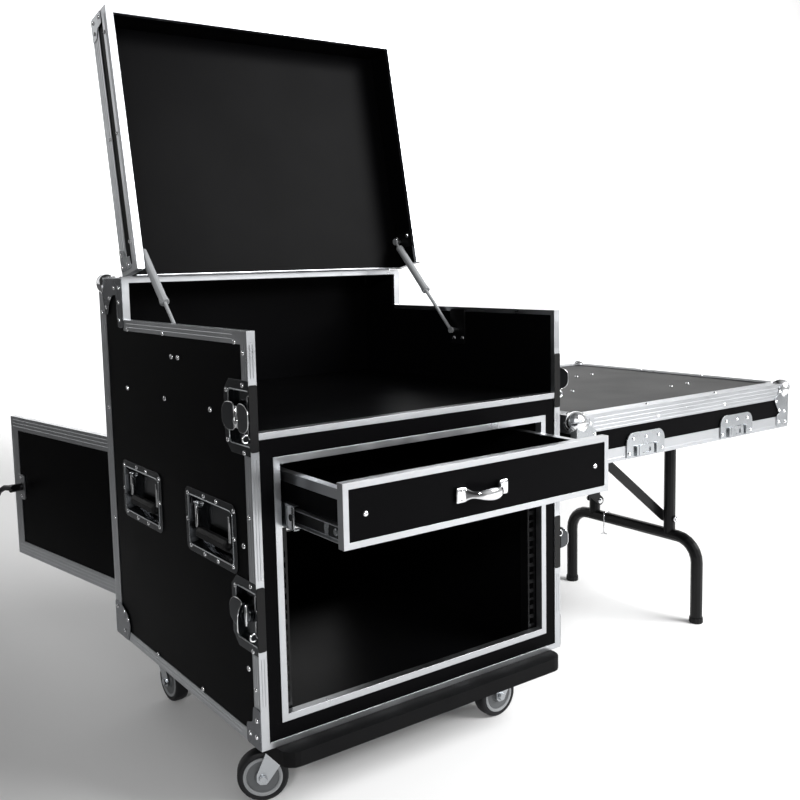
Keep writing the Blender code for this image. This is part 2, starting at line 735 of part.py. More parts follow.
def struts():
    """Gas struts: the cylinder hangs on the lid, the rod ends at the case stud with clearance."""
    y, z = turned(STRUT_TOP, -LID_OPEN)
    head = (LID_HINGE[0] + y, LID_HINGE[1] + z)
    reach = hypot(STRUT_FOOT[0] - head[0], STRUT_FOOT[1] - head[1])
    lean = atan2(STRUT_FOOT[1] - head[1], STRUT_FOOT[0] - head[0])
    for side in (-1, 1):
        turn = empty("strut_axis_" + hand(side), (side * STRUT_X, *head), (lean, 0, 0))
        bm = bmesh.new()
        stations = [(0.0040, 0.0026), (0.0150, 0.0030), (0.0170, 0.0068), (0.1210, 0.0068),
                    (0.1290, 0.0078), (0.1330, 0.0078), (0.1330, 0.0034), (0.0200, 0.0034)]
        sides = 12
        rings = [[(r * cos(2 * pi * k / sides), along, r * sin(2 * pi * k / sides)) for k in range(sides)]
                 for along, r in stations]
        ring_stack(bm, rings)
        cylinder = node("strut_cylinder_" + hand(side), bm, "chrome", turn)
        bm = bmesh.new()
        disc(bm, 0.0062, "x", -0.0023, 0.0023, (0.0, 0.0), 10)
        weld(cylinder, bm, "eye", turn)
        bm = bmesh.new()
        tube(bm, [(0, 0.0950, 0), (0, reach - 0.0040, 0)], 0.0030, 8)
        rod = node("strut_rod_" + hand(side), bm, "chrome", turn)
        bm = bmesh.new()
        disc(bm, 0.0056, "x", -0.0023, 0.0023, (reach, 0.0), 10)
        weld(rod, bm, "eye", turn)


def drawer():
    """Pulled-out rack drawer: framed face, box, side caps, slides and bow pull."""
    front = DRAWER_FRONT
    deep = 0.0125
    half = DRAWER_HALF
    back = front + deep
    start = back + GAP
    bm = bmesh.new()
    corners = [(half, DRAWER_LOW), (half, DRAWER_HIGH), (-half, DRAWER_HIGH), (-half, DRAWER_LOW)]
    frame = ((1, 0, 0), (0, 0, 1), (0, 1, 0), (0, front, 0))
    edge_run(bm, channel(deep, 0.0085, 0.0105), corners, frame, closed=True)
    trim = node("drawer_trim", bm, "aluminium")
    bm = bmesh.new()
    drawer_caps(bm, back - BITE, start + DRAWER_LONG)
    weld(trim, bm, "caps")
    bm = bmesh.new()
    for side in (-1, 1):
        slide_member(bm, side, DRAWER_BODY + GAP, 0.2395, 0.0110, back - BITE, start + DRAWER_LONG - 0.008)
    weld(trim, bm, "slides")

    bm = bmesh.new()
    low = (-half + SKIN, front + SKIN, DRAWER_LOW + SKIN)
    block(bm, low, (half - SKIN, back - SKIN, DRAWER_HIGH - SKIN))
    node("drawer_face", bm, "laminate")

    low = DRAWER_LOW + 0.006
    wall = DRAWER_WALL
    bm = bmesh.new()
    block(bm, (-DRAWER_BODY, start, low), (DRAWER_BODY, start + DRAWER_LONG, DRAWER_WALL_TOP))
    box = node("drawer_box", bm, "laminate")
    bm = bmesh.new()
    room_low = (-DRAWER_BODY + wall, start + wall, low + 0.006)
    room_high = (DRAWER_BODY - wall, start + DRAWER_LONG - wall, DRAWER_WALL_TOP + 0.05)
    block(bm, room_low, room_high)
    boolean(box, cutter("drawer_room", bm))
    drawer_pull(front)
    for side in (-1, 1):
        bm = bmesh.new()
        slide_member(bm, side, 0.2425, 0.2350, 0.0170, FRONT - 0.027, 0.085)
        node("slide_middle_" + hand(side), bm, "zinc")


def drawer_caps(bm, start, end):
    """Folded caps over the top edges of the drawer's two sides."""
    outer = DRAWER_BODY + SKIN
    inner = DRAWER_BODY - DRAWER_WALL - SKIN
    cap = DRAWER_WALL_TOP + SKIN
    outline = [(outer, cap), (outer, cap - 0.0138), (outer - SHEET, cap - 0.0138),
               (outer - SHEET, cap - SHEET), (inner, cap - SHEET), (inner, cap)]
    for side in (-1, 1):
        prism(bm, [(side * x, z) for x, z in outline], "y", start, end)


def drawer_pull(front):
    """Bow pull on two feet."""
    middle = -0.0150
    height = 0.4625
    bow = [(-0.0395, 0.0015), (-0.0360, 0.0150), (-0.0200, 0.0235), (0.0, 0.0250), (0.0200, 0.0235),
           (0.0360, 0.0150), (0.0395, 0.0015)]
    bm = bmesh.new()
    path = [(middle + along, front - out, height) for along, out in bow]
    tube(bm, path, [0.0045, 0.0050, 0.0065, 0.0072, 0.0065, 0.0050, 0.0045], 8, 0.55)
    pull = node("drawer_pull", bm, "chrome")
    bm = bmesh.new()
    for way in (-1, 1):
        foot = middle + way * 0.0370
        low = (foot - 0.0080, front - 0.0032, height - 0.0105)
        block(bm, low, (foot + 0.0080, front - GAP, height + 0.0105))
    weld(pull, bm, "feet")


def slide_member(bm, side, web, tip, half, start, end):
    """One folded slide member: its web at one side, its lips reaching to the tip."""
    way = 1 if tip > web else -1
    back = web + way * SHEET
    low = SLIDE_MID - half
    high = SLIDE_MID + half
    outline = [(web, low), (tip, low), (tip, low + SHEET), (back, low + SHEET),
               (back, high - SHEET), (tip, high - SHEET), (tip, high), (web, high)]
    prism(bm, [(side * x, z) for x, z in outline], "y", start, end)


def rear_door():
    """Rear door, built closed on its hinge axis and then swung open."""
    hinge = empty("door_axis", (*DOOR_HINGE, 0), (0, 0, radians(DOOR_OPEN)))
    near = 0.0020
    far = DOOR_LONG
    thick = 0.0125
    bm = bmesh.new()
    corners = [(near, DOOR_LOW), (far, DOOR_LOW), (far, DOOR_HIGH), (near, DOOR_HIGH)]
    frame = ((1, 0, 0), (0, 0, 1), (0, -1, 0), (0, thick, 0))
    edge_run(bm, channel(thick, 0.029, 0.010), corners, frame, closed=True)
    made = node("rear_door_frame", bm, "aluminium", hinge)
    grip_x = far - 0.034
    bm = bmesh.new()
    prism(bm, rounded(0.016, 0.027, 0.005, 2, (grip_x, 0.312)), "y", thick - BITE, thick + 0.0020)
    weld(made, bm, "latch_plate", hinge)
    half = (DOOR_HIGH - DOOR_LOW) / 2 - 0.006
    middle = (DOOR_HIGH + DOOR_LOW) / 2
    bm = bmesh.new()
    block(bm, (0.0034, -0.0019, middle - half), (0.0200, BITE, middle + half))
    weld(made, bm, "leaf", hinge)
    bm = bmesh.new()
    spans = knuckle_row(bm, 1, half, 9, 0.0017, "z", middle)
    weld(made, bm, "knuckles", hinge)
    bm = bmesh.new()
    for start, end in spans:
        block(bm, (0.0004, -0.0014, start), (0.0050, -0.0004, end))
    weld(made, bm, "tabs", hinge)

    bm = bmesh.new()
    block(bm, (near + SKIN, SKIN, DOOR_LOW + SKIN), (far - SKIN, thick - SKIN, DOOR_HIGH - SKIN))
    node("rear_door_panel", bm, "laminate", hinge)

    grip = empty("door_latch_axis", (grip_x, thick, 0.312))
    grip.parent = hinge
    bm = bmesh.new()
    disc(bm, 0.0085, "y", 0.0024, 0.0270, (0.0, 0.0), 10)
    latch = node("rear_door_latch", bm, "black_steel", grip)
    bm = bmesh.new()
    path = [(-0.0120, 0.0265, 0.004), (0.0, 0.0270, 0.002), (0.0200, 0.0300, 0.0), (0.0400, 0.0330, -0.010),
            (0.0520, 0.0340, -0.026)]
    tube(bm, path, [0.0045, 0.0062, 0.0060, 0.0055, 0.0045], 8)
    weld(latch, bm, "lever", grip)


def table():
    """The removable front cover, hung flat on the right side with its outer face up."""
    x0 = TABLE_LEFT
    x1 = TABLE_LEFT + TABLE_LONG
    y0 = TABLE_FRONT
    y1 = TABLE_FRONT + TABLE_WIDE
    top = TABLE_TOP
    low = TABLE_TOP - TABLE_DEEP
    wall = SKIN + PLY

    bm = bmesh.new()
    block(bm, (x0 + SKIN, y0 + SKIN, low + SKIN), (x1 - SKIN, y1 - SKIN, top - SKIN))
    shell = node("table_shell", bm, "laminate")
    bm = bmesh.new()
    block(bm, (x0 + wall, y0 + wall, low - 0.05), (x1 - wall, y1 - wall, top - wall))
    boolean(shell, cutter("table_room", bm))

    flat = [(x0, y0), (x1, y0), (x1, y1), (x0, y1)]
    bm = bmesh.new()
    edge_run(bm, angle(0.031, 0.029), flat, ((1, 0, 0), (0, 1, 0), (0, 0, -1), (0, 0, top)), closed=True)
    edges = node("table_edge_frame", bm, "aluminium")
    bm = bmesh.new()
    lip = [(0.0, 0.0), (0.0, EDGE_WIDE), (0.008, EDGE_WIDE), (0.008, EDGE_WIDE - SHEET),
           (SHEET, EDGE_WIDE - SHEET), (SHEET, SHEET), (0.024, SHEET), (0.024, 0.0)]
    edge_run(bm, lip, flat, ((1, 0, 0), (0, 1, 0), (0, 0, 1), (0, 0, low)), closed=True)
    weld(edges, bm, "rim")
    bm = bmesh.new()
    for x, inward_x in ((x0, 1), (x1, -1)):
        for y, inward_y in ((y0, 1), (y1, -1)):
            corner_post(bm, x, y, inward_x, inward_y, low + 0.010, top - 0.010)
    weld(edges, bm, "posts")
    bm = bmesh.new()
    for x in (x0 + 0.177, x1 - 0.177):
        for y, out in ((y0, -1), (y1, 1)):
            round_end = [(0.033 + 0.018 * cos(pi / 8 * k), low + 0.0275 + 0.018 * sin(pi / 8 * k))
                         for k in range(5)]
            outline = [(x - 0.051, low + 0.003), (x + 0.051, low + 0.003)]
            outline += [(x + a, z) for a, z in round_end] + [(x - a, z) for a, z in reversed(round_end)]
            start, end = sorted((y - out * BITE, y + out * 0.0015))
            prism(bm, outline, "y", start, end)
    for y in (-0.150, 0.150):
        hook = [(x0 + BITE, 0.436), (x0 + BITE, 0.4795), (0.2920, 0.4795), (0.2920, 0.4545),
                (0.2945, 0.4545), (0.2945, 0.4768), (x0 - 0.0025, 0.4768), (x0 - 0.0025, 0.436)]
        prism(bm, hook, "y", y - 0.018, y + 0.018)
    weld(edges, bm, "catches_and_hooks")
    corners = [((x, y, top), (dx, dy, -1))
               for x, dx in ((x0, 1), (x1, -1)) for y, dy in ((y0, 1), (y1, -1))]
    corner_domes(edges, corners, (x0, y0, low - 0.1), (x1, y1, top))

    bm = bmesh.new()
    face = RIGHT - SKIN + GAP
    outline = [(face, 0.4500), (face + 0.0109, 0.4500), (face + 0.0109, 0.4765), (face + 0.0084, 0.4765),
               (face + 0.0084, 0.4525), (face + 0.0025, 0.4525), (face + 0.0025, 0.4950), (face, 0.4950)]
    prism(bm, outline, "y", -0.172, 0.172)
    node("table_receiver", bm, "zinc")
    leg_mount(top - wall - GAP)


def leg_mount(high):
    """Pressed frame under the table: cradles for the leg's axle and lugs with studs for the braces."""
    low = high - 0.0015
    far = LEG_MID + POST_HALF + 0.0255
    near = LEG_MID - POST_HALF - 0.0255
    bm = bmesh.new()
    block(bm, (BRACE_TOP[0] - 0.016, near, low), (LEG_X + 0.024, far, high))
    made = node("leg_mount", bm, "black_steel")
    bm = bmesh.new()
    block(bm, (BRACE_TOP[0] + 0.016, near + 0.052, low - 0.01), (LEG_X - 0.024, far - 0.052, high + 0.01))
    boolean(made, cutter("mount_window", bm))
    bm = bmesh.new()
    for way in (-1, 1):
        y = LEG_MID + way * (POST_HALF + 0.0220)
        half = [(0.022, low + 0.0008), (0.022, low - 0.006), (0.014, LEG_PIVOT - 0.013)]
        outline = [(LEG_X - x, z) for x, z in half] + [(LEG_X + x, z) for x, z in reversed(half)]
        prism(bm, outline, "y", y - 0.0015, y + 0.0015)
    x, z = BRACE_TOP
    for way in (-1, 1):
        y = LEG_MID + way * (BRACE_Y - 0.0042)
        block(bm, (x - 0.012, y - 0.0010, z - 0.008), (x + 0.012, y + 0.0010, low + 0.0008))
    weld(made, bm, "lugs")
    bm = bmesh.new()
    for way in (-1, 1):
        start, end = sorted((LEG_MID + way * (BRACE_Y - 0.0044), LEG_MID + way * (BRACE_Y + 0.0030)))
        disc(bm, 0.0036, "y", start, end, (x, z), 8)
    weld(made, bm, "studs")
    bm = bmesh.new()
    disc(bm, 0.0086, "y", LEG_MID - 0.2, LEG_MID + 0.2, (LEG_X, LEG_PIVOT), 16)
    boolean(made, cutter("axle_room", bm))


def leg():
    """Folding leg: one bent foot tube, two posts with a stub axle each, and two braces."""
    hinge = empty("leg_axis", (LEG_X, LEG_MID, LEG_PIVOT))
    foot = 0.0120 - LEG_PIVOT
    cross = CROSS_Z - LEG_PIVOT
    knee = BRACE_FOOT[1] - LEG_PIVOT
    bm = bmesh.new()
    corners = [(0, -FOOT_HALF, foot), (0, -FOOT_HALF, cross), (0, FOOT_HALF, cross), (0, FOOT_HALF, foot)]
    tube(bm, fillet(corners, 0.048, 6), TUBE, 12)
    frame = node("leg_frame", bm, "black_steel", hinge)
    bm = bmesh.new()
    for way in (-1, 1):
        tube(bm, [(0, way * POST_HALF, cross - 0.003), (0, way * POST_HALF, 0.0100)], TUBE - 0.0003, 12)
    weld(frame, bm, "posts", hinge)
    bm = bmesh.new()
    for way in (-1, 1):
        tube(bm, [(0, way * (POST_HALF - 0.004), 0), (0, way * (POST_HALF + 0.030), 0)], 0.0080, 12)
        start, end = sorted((way * (POST_HALF + TUBE - 0.003), way * (POST_HALF + TUBE + 0.0045)))
        disc(bm, 0.0065, "y", start, end, (0.0, knee), 6)
    weld(frame, bm, "stubs_and_bolts", hinge)

    for way, label in ((-1, "front"), (1, "back")):
        y = way * FOOT_HALF
        bm = bmesh.new()
        stations = ((-LEG_PIVOT, 0.0130), (0.0020 - LEG_PIVOT, 0.0145), (0.0117 - LEG_PIVOT, 0.0140))
        rings = [[(r * cos(2 * pi * k / 12), y + r * sin(2 * pi * k / 12), z) for k in range(12)]
                 for z, r in stations]
        ring_stack(bm, rings)
        node("leg_foot_cap_" + label, bm, "rubber", hinge)

    length = hypot(BRACE_FOOT[0] - BRACE_TOP[0], BRACE_FOOT[1] - BRACE_TOP[1])
    slope = atan2(BRACE_TOP[1] - BRACE_FOOT[1], BRACE_FOOT[0] - BRACE_TOP[0])
    turn = empty("brace_axis", (BRACE_TOP[0], LEG_MID, BRACE_TOP[1]), (0, slope, 0))
    for way, label in ((-1, "front"), (1, "back")):
        y = way * BRACE_Y
        bm = bmesh.new()
        outline = rounded((length + 0.020) / 2, 0.010, 0.0095, 3, (length / 2, 0.0))
        prism(bm, outline, "y", y - 0.0015, y + 0.0015)
        bar = node("leg_brace_" + label, bm, "black_steel", turn)
        bm = bmesh.new()
        disc(bm, 0.0040, "y", y - 0.01, y + 0.01, (0.0, 0.0), 12)
        boolean(bar, cutter("brace_eye_" + label, bm)).parent = turn


def casters():
    """Board under the case with four swivel casters."""
    high = BASE - GAP
    low = high - BOARD_THICK
    bm = bmesh.new()
    prism(bm, rounded(BOARD_HALF[0], BOARD_HALF[1], 0.022, 4), "z", low, high)
    board = node("caster_board", bm, "laminate")
    plates = bmesh.new()
    raceways = bmesh.new()
    for sx in (-1, 1):
        for sy in (-1, 1):
            spot = (sx * KINGPIN[0], sy * KINGPIN[1])
            prism(plates, rounded(0.031, 0.031, 0.006, 2, spot), "z", low - 0.0025, low + 0.0010)
            disc(raceways, 0.0210, "z", low - 0.0090, low - 0.0015, spot, 14)
    weld(board, plates, "plates")
    weld(board, raceways, "raceways")

    # Where each wheel trails: the direction from its kingpin, in degrees
    trails = {"front_left": (-1, -1, 152.0), "front_right": (1, -1, 180.0),
              "back_left": (-1, 1, -88.0), "back_right": (1, 1, 60.0)}
    for label, (sx, sy, heading) in trails.items():
        swivel = empty("swivel_" + label, (sx * KINGPIN[0], sy * KINGPIN[1], 0), (0, 0, radians(heading)))
        caster_fork(label, swivel, low - 0.0093)
        axle = empty("axle_" + label, (TRAIL, 0, WHEEL))
        axle.parent = swivel
        caster_wheel(label, axle)


def caster_fork(label, swivel, high):
    """Pressed fork: a crown under the raceway, two legs and the axle bolt."""
    crown = 0.0030
    half = 0.0170
    bm = bmesh.new()
    prism(bm, rounded(0.0240, half, 0.008, 2, (0.004, 0.0)), "z", high - crown, high)
    made = node("caster_fork_" + label, bm, "zinc", swivel)
    bm = bmesh.new()
    axle_z = WHEEL
    outline = [(-0.014, high - 0.0010), (0.0220, high - 0.0010), (TRAIL + 0.009, axle_z + 0.006),
               (TRAIL + 0.009, axle_z - 0.004), (TRAIL + 0.004, axle_z - 0.009),
               (TRAIL - 0.005, axle_z - 0.009), (TRAIL - 0.010, axle_z - 0.003)]
    for way in (-1, 1):
        start, end = sorted((way * (half - 0.0026), way * (half - 0.0004)))
        prism(bm, outline, "y", start, end)
    weld(made, bm, "legs", swivel)
    bm = bmesh.new()
    disc(bm, 0.0040, "y", -half - 0.0010, half + 0.0010, (TRAIL, axle_z), 10)
    weld(made, bm, "axle", swivel)
    bm = bmesh.new()
    for way in (-1, 1):
        start, end = sorted((way * (half - 0.0010), way * (half + 0.0045)))
        disc(bm, 0.0062, "y", start, end, (TRAIL, axle_z), 6)
    weld(made, bm, "heads", swivel)


def caster_wheel(label, axle):
    """Wheel turned about its axle: tread, shoulder, ring and hub with a bore."""
    bm = bmesh.new()
    profile = [(0.0045, -0.0130), (0.0120, -0.0130), (0.0130, -0.0105), (0.0265, -0.0105),
               (0.0275, -0.0120), (0.0330, -0.0120), (WHEEL, -0.0080), (WHEEL, 0.0080), (0.0330, 0.0120),
               (0.0275, 0.0120), (0.0265, 0.0105), (0.0130, 0.0105), (0.0120, 0.0130), (0.0045, 0.0130)]
    first = [bm.verts.new((0, y, r)) for r, y in profile]
    edges = [bm.edges.new((first[i], first[(i + 1) % len(first)])) for i in range(len(first))]
    bmesh.ops.spin(bm, geom=first + edges, cent=(0, 0, 0), axis=(0, 1, 0), angle=2 * pi, steps=20,
                   use_merge=True, use_duplicate=False)
    bmesh.ops.remove_doubles(bm, verts=bm.verts[:], dist=0.00001)
    node("caster_wheel_" + label, bm, "tyre", axle)


def side_fittings(side):
    """Two handles and two latches; on the left the upper latch's wings lie along the edge."""
    for place_y, place_name in zip(HANDLE_Y, ("front", "back")):
        handle_dish(side, place_y, hand(side) + "_" + place_name)
        bail(side, place_y, hand(side) + "_" + place_name)
    upper_turn = 90.0 if side < 0 else 0.0
    for place_z, turn, place_name in zip(LATCH_Z, (0.0, upper_turn), ("lower", "upper")):
        latch_dish(side, place_z, hand(side) + "_" + place_name)
        latch_wing(side, place_z, turn, hand(side) + "_" + place_name)


def set_origin():
    """Put the origin on the floor, under the middle of all that the case, table and door cover."""
    graph = bpy.context.evaluated_depsgraph_get()
    shown = [item for item in bpy.data.objects if item.type == "MESH" and not item.hide_render]
    corners = []
    for item in shown:
        evaluated = item.evaluated_get(graph)
        corners += [evaluated.matrix_world @ vert.co for vert in evaluated.to_mesh().vertices]
        evaluated.to_mesh_clear()
    middle = [(min(c[a] for c in corners) + max(c[a] for c in corners)) / 2 for a in (0, 1)]
    roots = [item for item in bpy.data.objects if item.parent is None]
    footprint = empty("footprint_middle", (-middle[0], -middle[1], 0))
    for item in roots:
        item.parent = footprint


boards()
opening_trim()
case_edges()
rack_rails()
for which in (-1, 1):
    side_board(which)
    side_fittings(which)
lid()
struts()
drawer()
rear_door()
table()
leg()
casters()
set_origin()
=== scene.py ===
# %% [markdown]
# # Amp rack case on casters
# A wheeled flight case with an open lid on gas struts, a work tray, a pulled-out rack
# drawer, an open rack bay, a rear door and a cover hung on its side as a table.
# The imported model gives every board, edge section, hinge and wheel. This script gives
# them their finishes and adds the small pressed and riveted parts.

# %% Load the fixed frame
import json
from math import cos, pi, radians, sin
import bmesh
import bpy
from mathutils import Matrix, Vector


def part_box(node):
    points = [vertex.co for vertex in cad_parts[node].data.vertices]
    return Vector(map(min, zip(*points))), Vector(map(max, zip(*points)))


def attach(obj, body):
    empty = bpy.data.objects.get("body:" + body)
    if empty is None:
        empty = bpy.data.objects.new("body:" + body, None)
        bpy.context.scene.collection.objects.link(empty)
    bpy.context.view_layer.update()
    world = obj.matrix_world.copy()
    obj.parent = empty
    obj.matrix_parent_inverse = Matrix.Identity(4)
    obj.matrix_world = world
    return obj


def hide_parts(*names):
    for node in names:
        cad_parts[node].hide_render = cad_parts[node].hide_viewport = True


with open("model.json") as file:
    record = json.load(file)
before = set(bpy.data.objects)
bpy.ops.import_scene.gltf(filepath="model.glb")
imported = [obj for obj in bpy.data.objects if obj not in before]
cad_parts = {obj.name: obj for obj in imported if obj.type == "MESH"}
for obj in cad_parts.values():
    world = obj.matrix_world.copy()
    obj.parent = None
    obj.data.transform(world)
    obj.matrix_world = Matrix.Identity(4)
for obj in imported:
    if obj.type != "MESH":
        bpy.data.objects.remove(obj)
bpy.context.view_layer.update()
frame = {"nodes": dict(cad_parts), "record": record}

# %% [markdown]
# The model's origin is under the middle of everything that stands on the floor. The
# real case is easier to think about from its own middle, so all places below are
# measured from there, in metres, and one shift moves them. The caster board is centred
# under the case, so its box gives the shift.

# %% The case's own middle
low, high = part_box("caster_board")
MIDDLE = Matrix.Translation(((low[0] + high[0]) / 2, (low[1] + high[1]) / 2, 0.0))
SIDE = 0.289  # outer face of a side board
FRONT = -0.274
BACK = 0.274
BASE = 0.115  # underside of the boards
STEP = 0.69  # upper edge of the low front part
TOP = 0.76
ROOF_FRONT = 0.162  # front edge of the roof, which carries the lid's hinge
print("case middle:", [round(v, 4) for v in MIDDLE.translation])

# %% [markdown]
# A node material is a small graph. One helper adds a node, fills in its settings and
# links its sockets, so each finish below reads from top to bottom. Colours are written
# as the hex values a colour picker shows and turned to linear light once.

# %% Helpers for nodes
def linear(hex_colour):
    parts = [int(hex_colour[i:i + 2], 16) / 255 for i in (1, 3, 5)]
    return (*[c / 12.92 if c <= 0.04045 else ((c + 0.055) / 1.055) ** 2.4 for c in parts], 1.0)


def fill(tree, node, inputs):
    """Set or link inputs by name or number. A node stands for its first output."""
    for key, value in inputs.items():
        if isinstance(value, bpy.types.Node):
            value = value.outputs[0]
        if isinstance(value, bpy.types.NodeSocket):
            tree.links.new(value, node.inputs[key])
        else:
            node.inputs[key].default_value = value


def add(tree, kind, inputs=None, stops=(), **settings):
    """One node with its settings, its inputs and the (place, grey) stops of a ramp."""
    made = tree.nodes.new(kind)
    for name, value in settings.items():
        socket = made.inputs.get(name.replace("_", " "))
        if socket is not None and not hasattr(made, name):
            socket.default_value = value
        else:
            setattr(made, name, value)
    fill(tree, made, inputs or {})
    if stops:
        elements = made.color_ramp.elements
        elements[0].position, elements[1].position = stops[0][0], stops[-1][0]
        for place, _ in stops[1:-1]:
            elements.new(place)
        for element, (_, grey) in zip(elements, stops):
            element.color = (grey, grey, grey, 1.0)
    return made


# %% [markdown]
# Every finish starts from the same shader and reads its patterns in the piece's own
# coordinates. Its roughness drifts a little, because no real surface is even.

# %% A plain finish and its drift
def new_finish(name, colour, metallic, roughness, **inputs):
    """A Principled material with its tree, its shader and the piece's own coordinates."""
    made = bpy.data.materials.new(name)
    made.use_nodes = True
    tree = made.node_tree
    shader = tree.nodes["Principled BSDF"]
    fill(tree, shader, {"Base Color": linear(colour), "Metallic": metallic, "Roughness": roughness})
    fill(tree, shader, {label.replace("_", " "): value for label, value in inputs.items()})
    return made, tree, shader, add(tree, "ShaderNodeTexCoord").outputs["Object"]


def drift(tree, shader, place, size, detail, smooth, dull):
    """Let the roughness wander between two values over patches of a given size."""
    cloud = add(tree, "ShaderNodeTexNoise", {"Vector": place}, Scale=1 / size, Detail=detail)
    rough = add(tree, "ShaderNodeValToRGB", {"Fac": cloud}, [(0.3, smooth), (0.7, dull)])
    fill(tree, shader, {"Roughness": rough})


# %% [markdown]
# The boards are birch plywood faced with a black phenolic laminate. Its press plate
# leaves a fine pebble grain, about 1.5 mm from bump to bump, which breaks up the
# reflections. Handling leaves large dull and shiny areas, so the roughness drifts
# slowly over about 150 mm, and a few faint scuffs lie across it.

# %% Black phenolic laminate
def laminate_finish():
    black = "#070708"
    scuffed = "#101012"
    made, tree, shader, place = new_finish("black_phenolic_laminate", black, 0.0, 0.36,
                                           Specular_IOR_Level=0.02)
    drift(tree, shader, place, size=0.15, detail=3.0, smooth=0.33, dull=0.38)
    stretch = add(tree, "ShaderNodeMapping", {"Vector": place},
                  Rotation=(0.5, 0.3, 0.7), Scale=(60, 900, 700))
    scuff = add(tree, "ShaderNodeTexNoise", {"Vector": stretch}, Scale=1.0, Detail=2.0)
    worn = add(tree, "ShaderNodeValToRGB", {"Fac": scuff}, [(0.0, 0.0), (0.74, 0.0), (0.86, 1.0)])
    tint = add(tree, "ShaderNodeMix", {"Factor": worn, 6: linear(black), 7: linear(scuffed)},
               data_type="RGBA", blend_type="MIX")
    pebble = add(tree, "ShaderNodeTexVoronoi", {"Vector": place}, feature="SMOOTH_F1", Scale=1 / 0.0015)
    bump = add(tree, "ShaderNodeBump", {"Height": pebble}, Strength=0.25, Distance=0.0002)
    fill(tree, shader, {"Base Color": tint.outputs[2], "Normal": bump})
    return made


LAMINATE = laminate_finish()
print("made", LAMINATE.name)

# %% [markdown]
# The edge sections are rolled from mill-finish aluminium. Rolling leaves a satin face
# with faint lines and a slow cloudiness. The real arris is rounded by about half a
# millimetre, so the shader rounds the normals there and the edge catches a line of light.

# %% Satin edge aluminium
def metal_finish(name, colour, low_rough, high_rough, grain, strength, arris=0.0006):
    """Bare metal: a fine grain, a slow drift of the roughness and softened arrises."""
    made, tree, shader, place = new_finish(name, colour, 1.0, low_rough)
    drift(tree, shader, place, size=0.04, detail=4.0, smooth=low_rough, dull=high_rough)
    fine = add(tree, "ShaderNodeTexNoise", {"Vector": place}, Scale=1 / grain, Detail=2.0)
    softened = add(tree, "ShaderNodeBevel", samples=4, Radius=arris)
    bump = add(tree, "ShaderNodeBump", {"Height": fine, "Normal": softened},
               Strength=strength, Distance=0.0001)
    fill(tree, shader, {"Normal": bump})
    return made


ALUMINIUM = metal_finish("rolled_edge_aluminium", "#bcbec1", 0.27, 0.4, 0.0008, 0.25)
print("made", ALUMINIUM.name)

# %% [markdown]
# The forks, slides and most corner braces are pressed steel with bright zinc plating, a
# little greyer than the aluminium. The case's own braces are the same zinc darkened by a
# painted shade, and the handle and latch dishes are zinc darkened further, a painted shade
# for the dim surroundings that they reflect. Rivets, screws, balls and the pull are chromed,
# so they reflect almost like mirrors, and the latch leaves are chrome darkened by a painted shade.

# %% Zinc and chrome, some with painted shade
ZINC = metal_finish("zinc_plated_steel", "#a9acaf", 0.2, 0.32, 0.0012, 0.2)
# Painted shade: the dishes' zinc is tinted dark for the dim surroundings it reflects.
SHADED_DISH = metal_finish("zinc_dish_painted_shade", "#4a4c4f", 0.14, 0.24, 0.0012, 0.15)
# Painted shade: the case braces' zinc is tinted darker for the dim surroundings it reflects.
SHADED_ZINC = metal_finish("zinc_plate_painted_shade", "#7c7e82", 0.2, 0.32, 0.0012, 0.2)
CHROME = metal_finish("chromed_steel", "#e6e7e9", 0.07, 0.13, 0.002, 0.05, 0.0004)
# Painted shade: the latch leaves' chrome is tinted dark for the dim surroundings it reflects.
SHADED_CHROME = metal_finish("chrome_painted_shade", "#5e6063", 0.08, 0.14, 0.002, 0.05, 0.0004)
print("made", [metal.name for metal in (ZINC, SHADED_DISH, SHADED_ZINC, CHROME, SHADED_CHROME)])

# %% [markdown]
# The leg, its mount and the brackets are powder-coated steel, the gas struts are silver
# enamel, and the caster board is brushed with matt paint. The bails' grips and the foot
# caps are moulded rubber, and the wheels are a black tread on a nylon core. Each is a
# coat or a plastic with a fine grain, so one function serves for all of them.

# %% Coats, rubber and nylon
def coated_finish(name, colour, roughness, grain, strength, specular=0.2):
    """A matt or satin coat whose surface is finely grained."""
    made, tree, shader, place = new_finish(name, colour, 0.0, roughness, Specular_IOR_Level=specular)
    drift(tree, shader, place, size=0.06, detail=2.0, smooth=roughness - 0.05, dull=roughness + 0.06)
    fine = add(tree, "ShaderNodeTexNoise", {"Vector": place}, Scale=1 / grain, Detail=3.0)
    bump = add(tree, "ShaderNodeBump", {"Height": fine}, Strength=strength, Distance=0.0002)
    fill(tree, shader, {"Normal": bump})
    return made


BLACK_STEEL = coated_finish("black_powder_coat", "#0c0c0d", 0.34, 0.001, 0.3)
SILVER = coated_finish("silver_enamel", "#97999b", 0.34, 0.0016, 0.08, 0.5)
BOARD = coated_finish("matt_black_paint", "#0a0a0b", 0.62, 0.0012, 0.25, 0.08)
RUBBER = coated_finish("moulded_black_rubber", "#0f0f10", 0.55, 0.0014, 0.35)
TYRE = coated_finish("black_tyre_rubber", "#18181a", 0.52, 0.0012, 0.3)
WHEEL_GREY = coated_finish("moulded_grey_nylon", "#56585a", 0.45, 0.0016, 0.15, 0.4)
RING_GREY = coated_finish("pale_grey_nylon", "#8b8d8f", 0.4, 0.0016, 0.12, 0.4)
print("finishes:", len(bpy.data.materials))

# %% [markdown]
# The rack rail is painted black where it shows in the open bay and is bare zinc above,
# where the drawer's slide is fixed to it. It is one node, so the height decides.

# %% Two-part finish of the rack rail
RAIL_SPLIT = 0.4165  # height where the coat ends


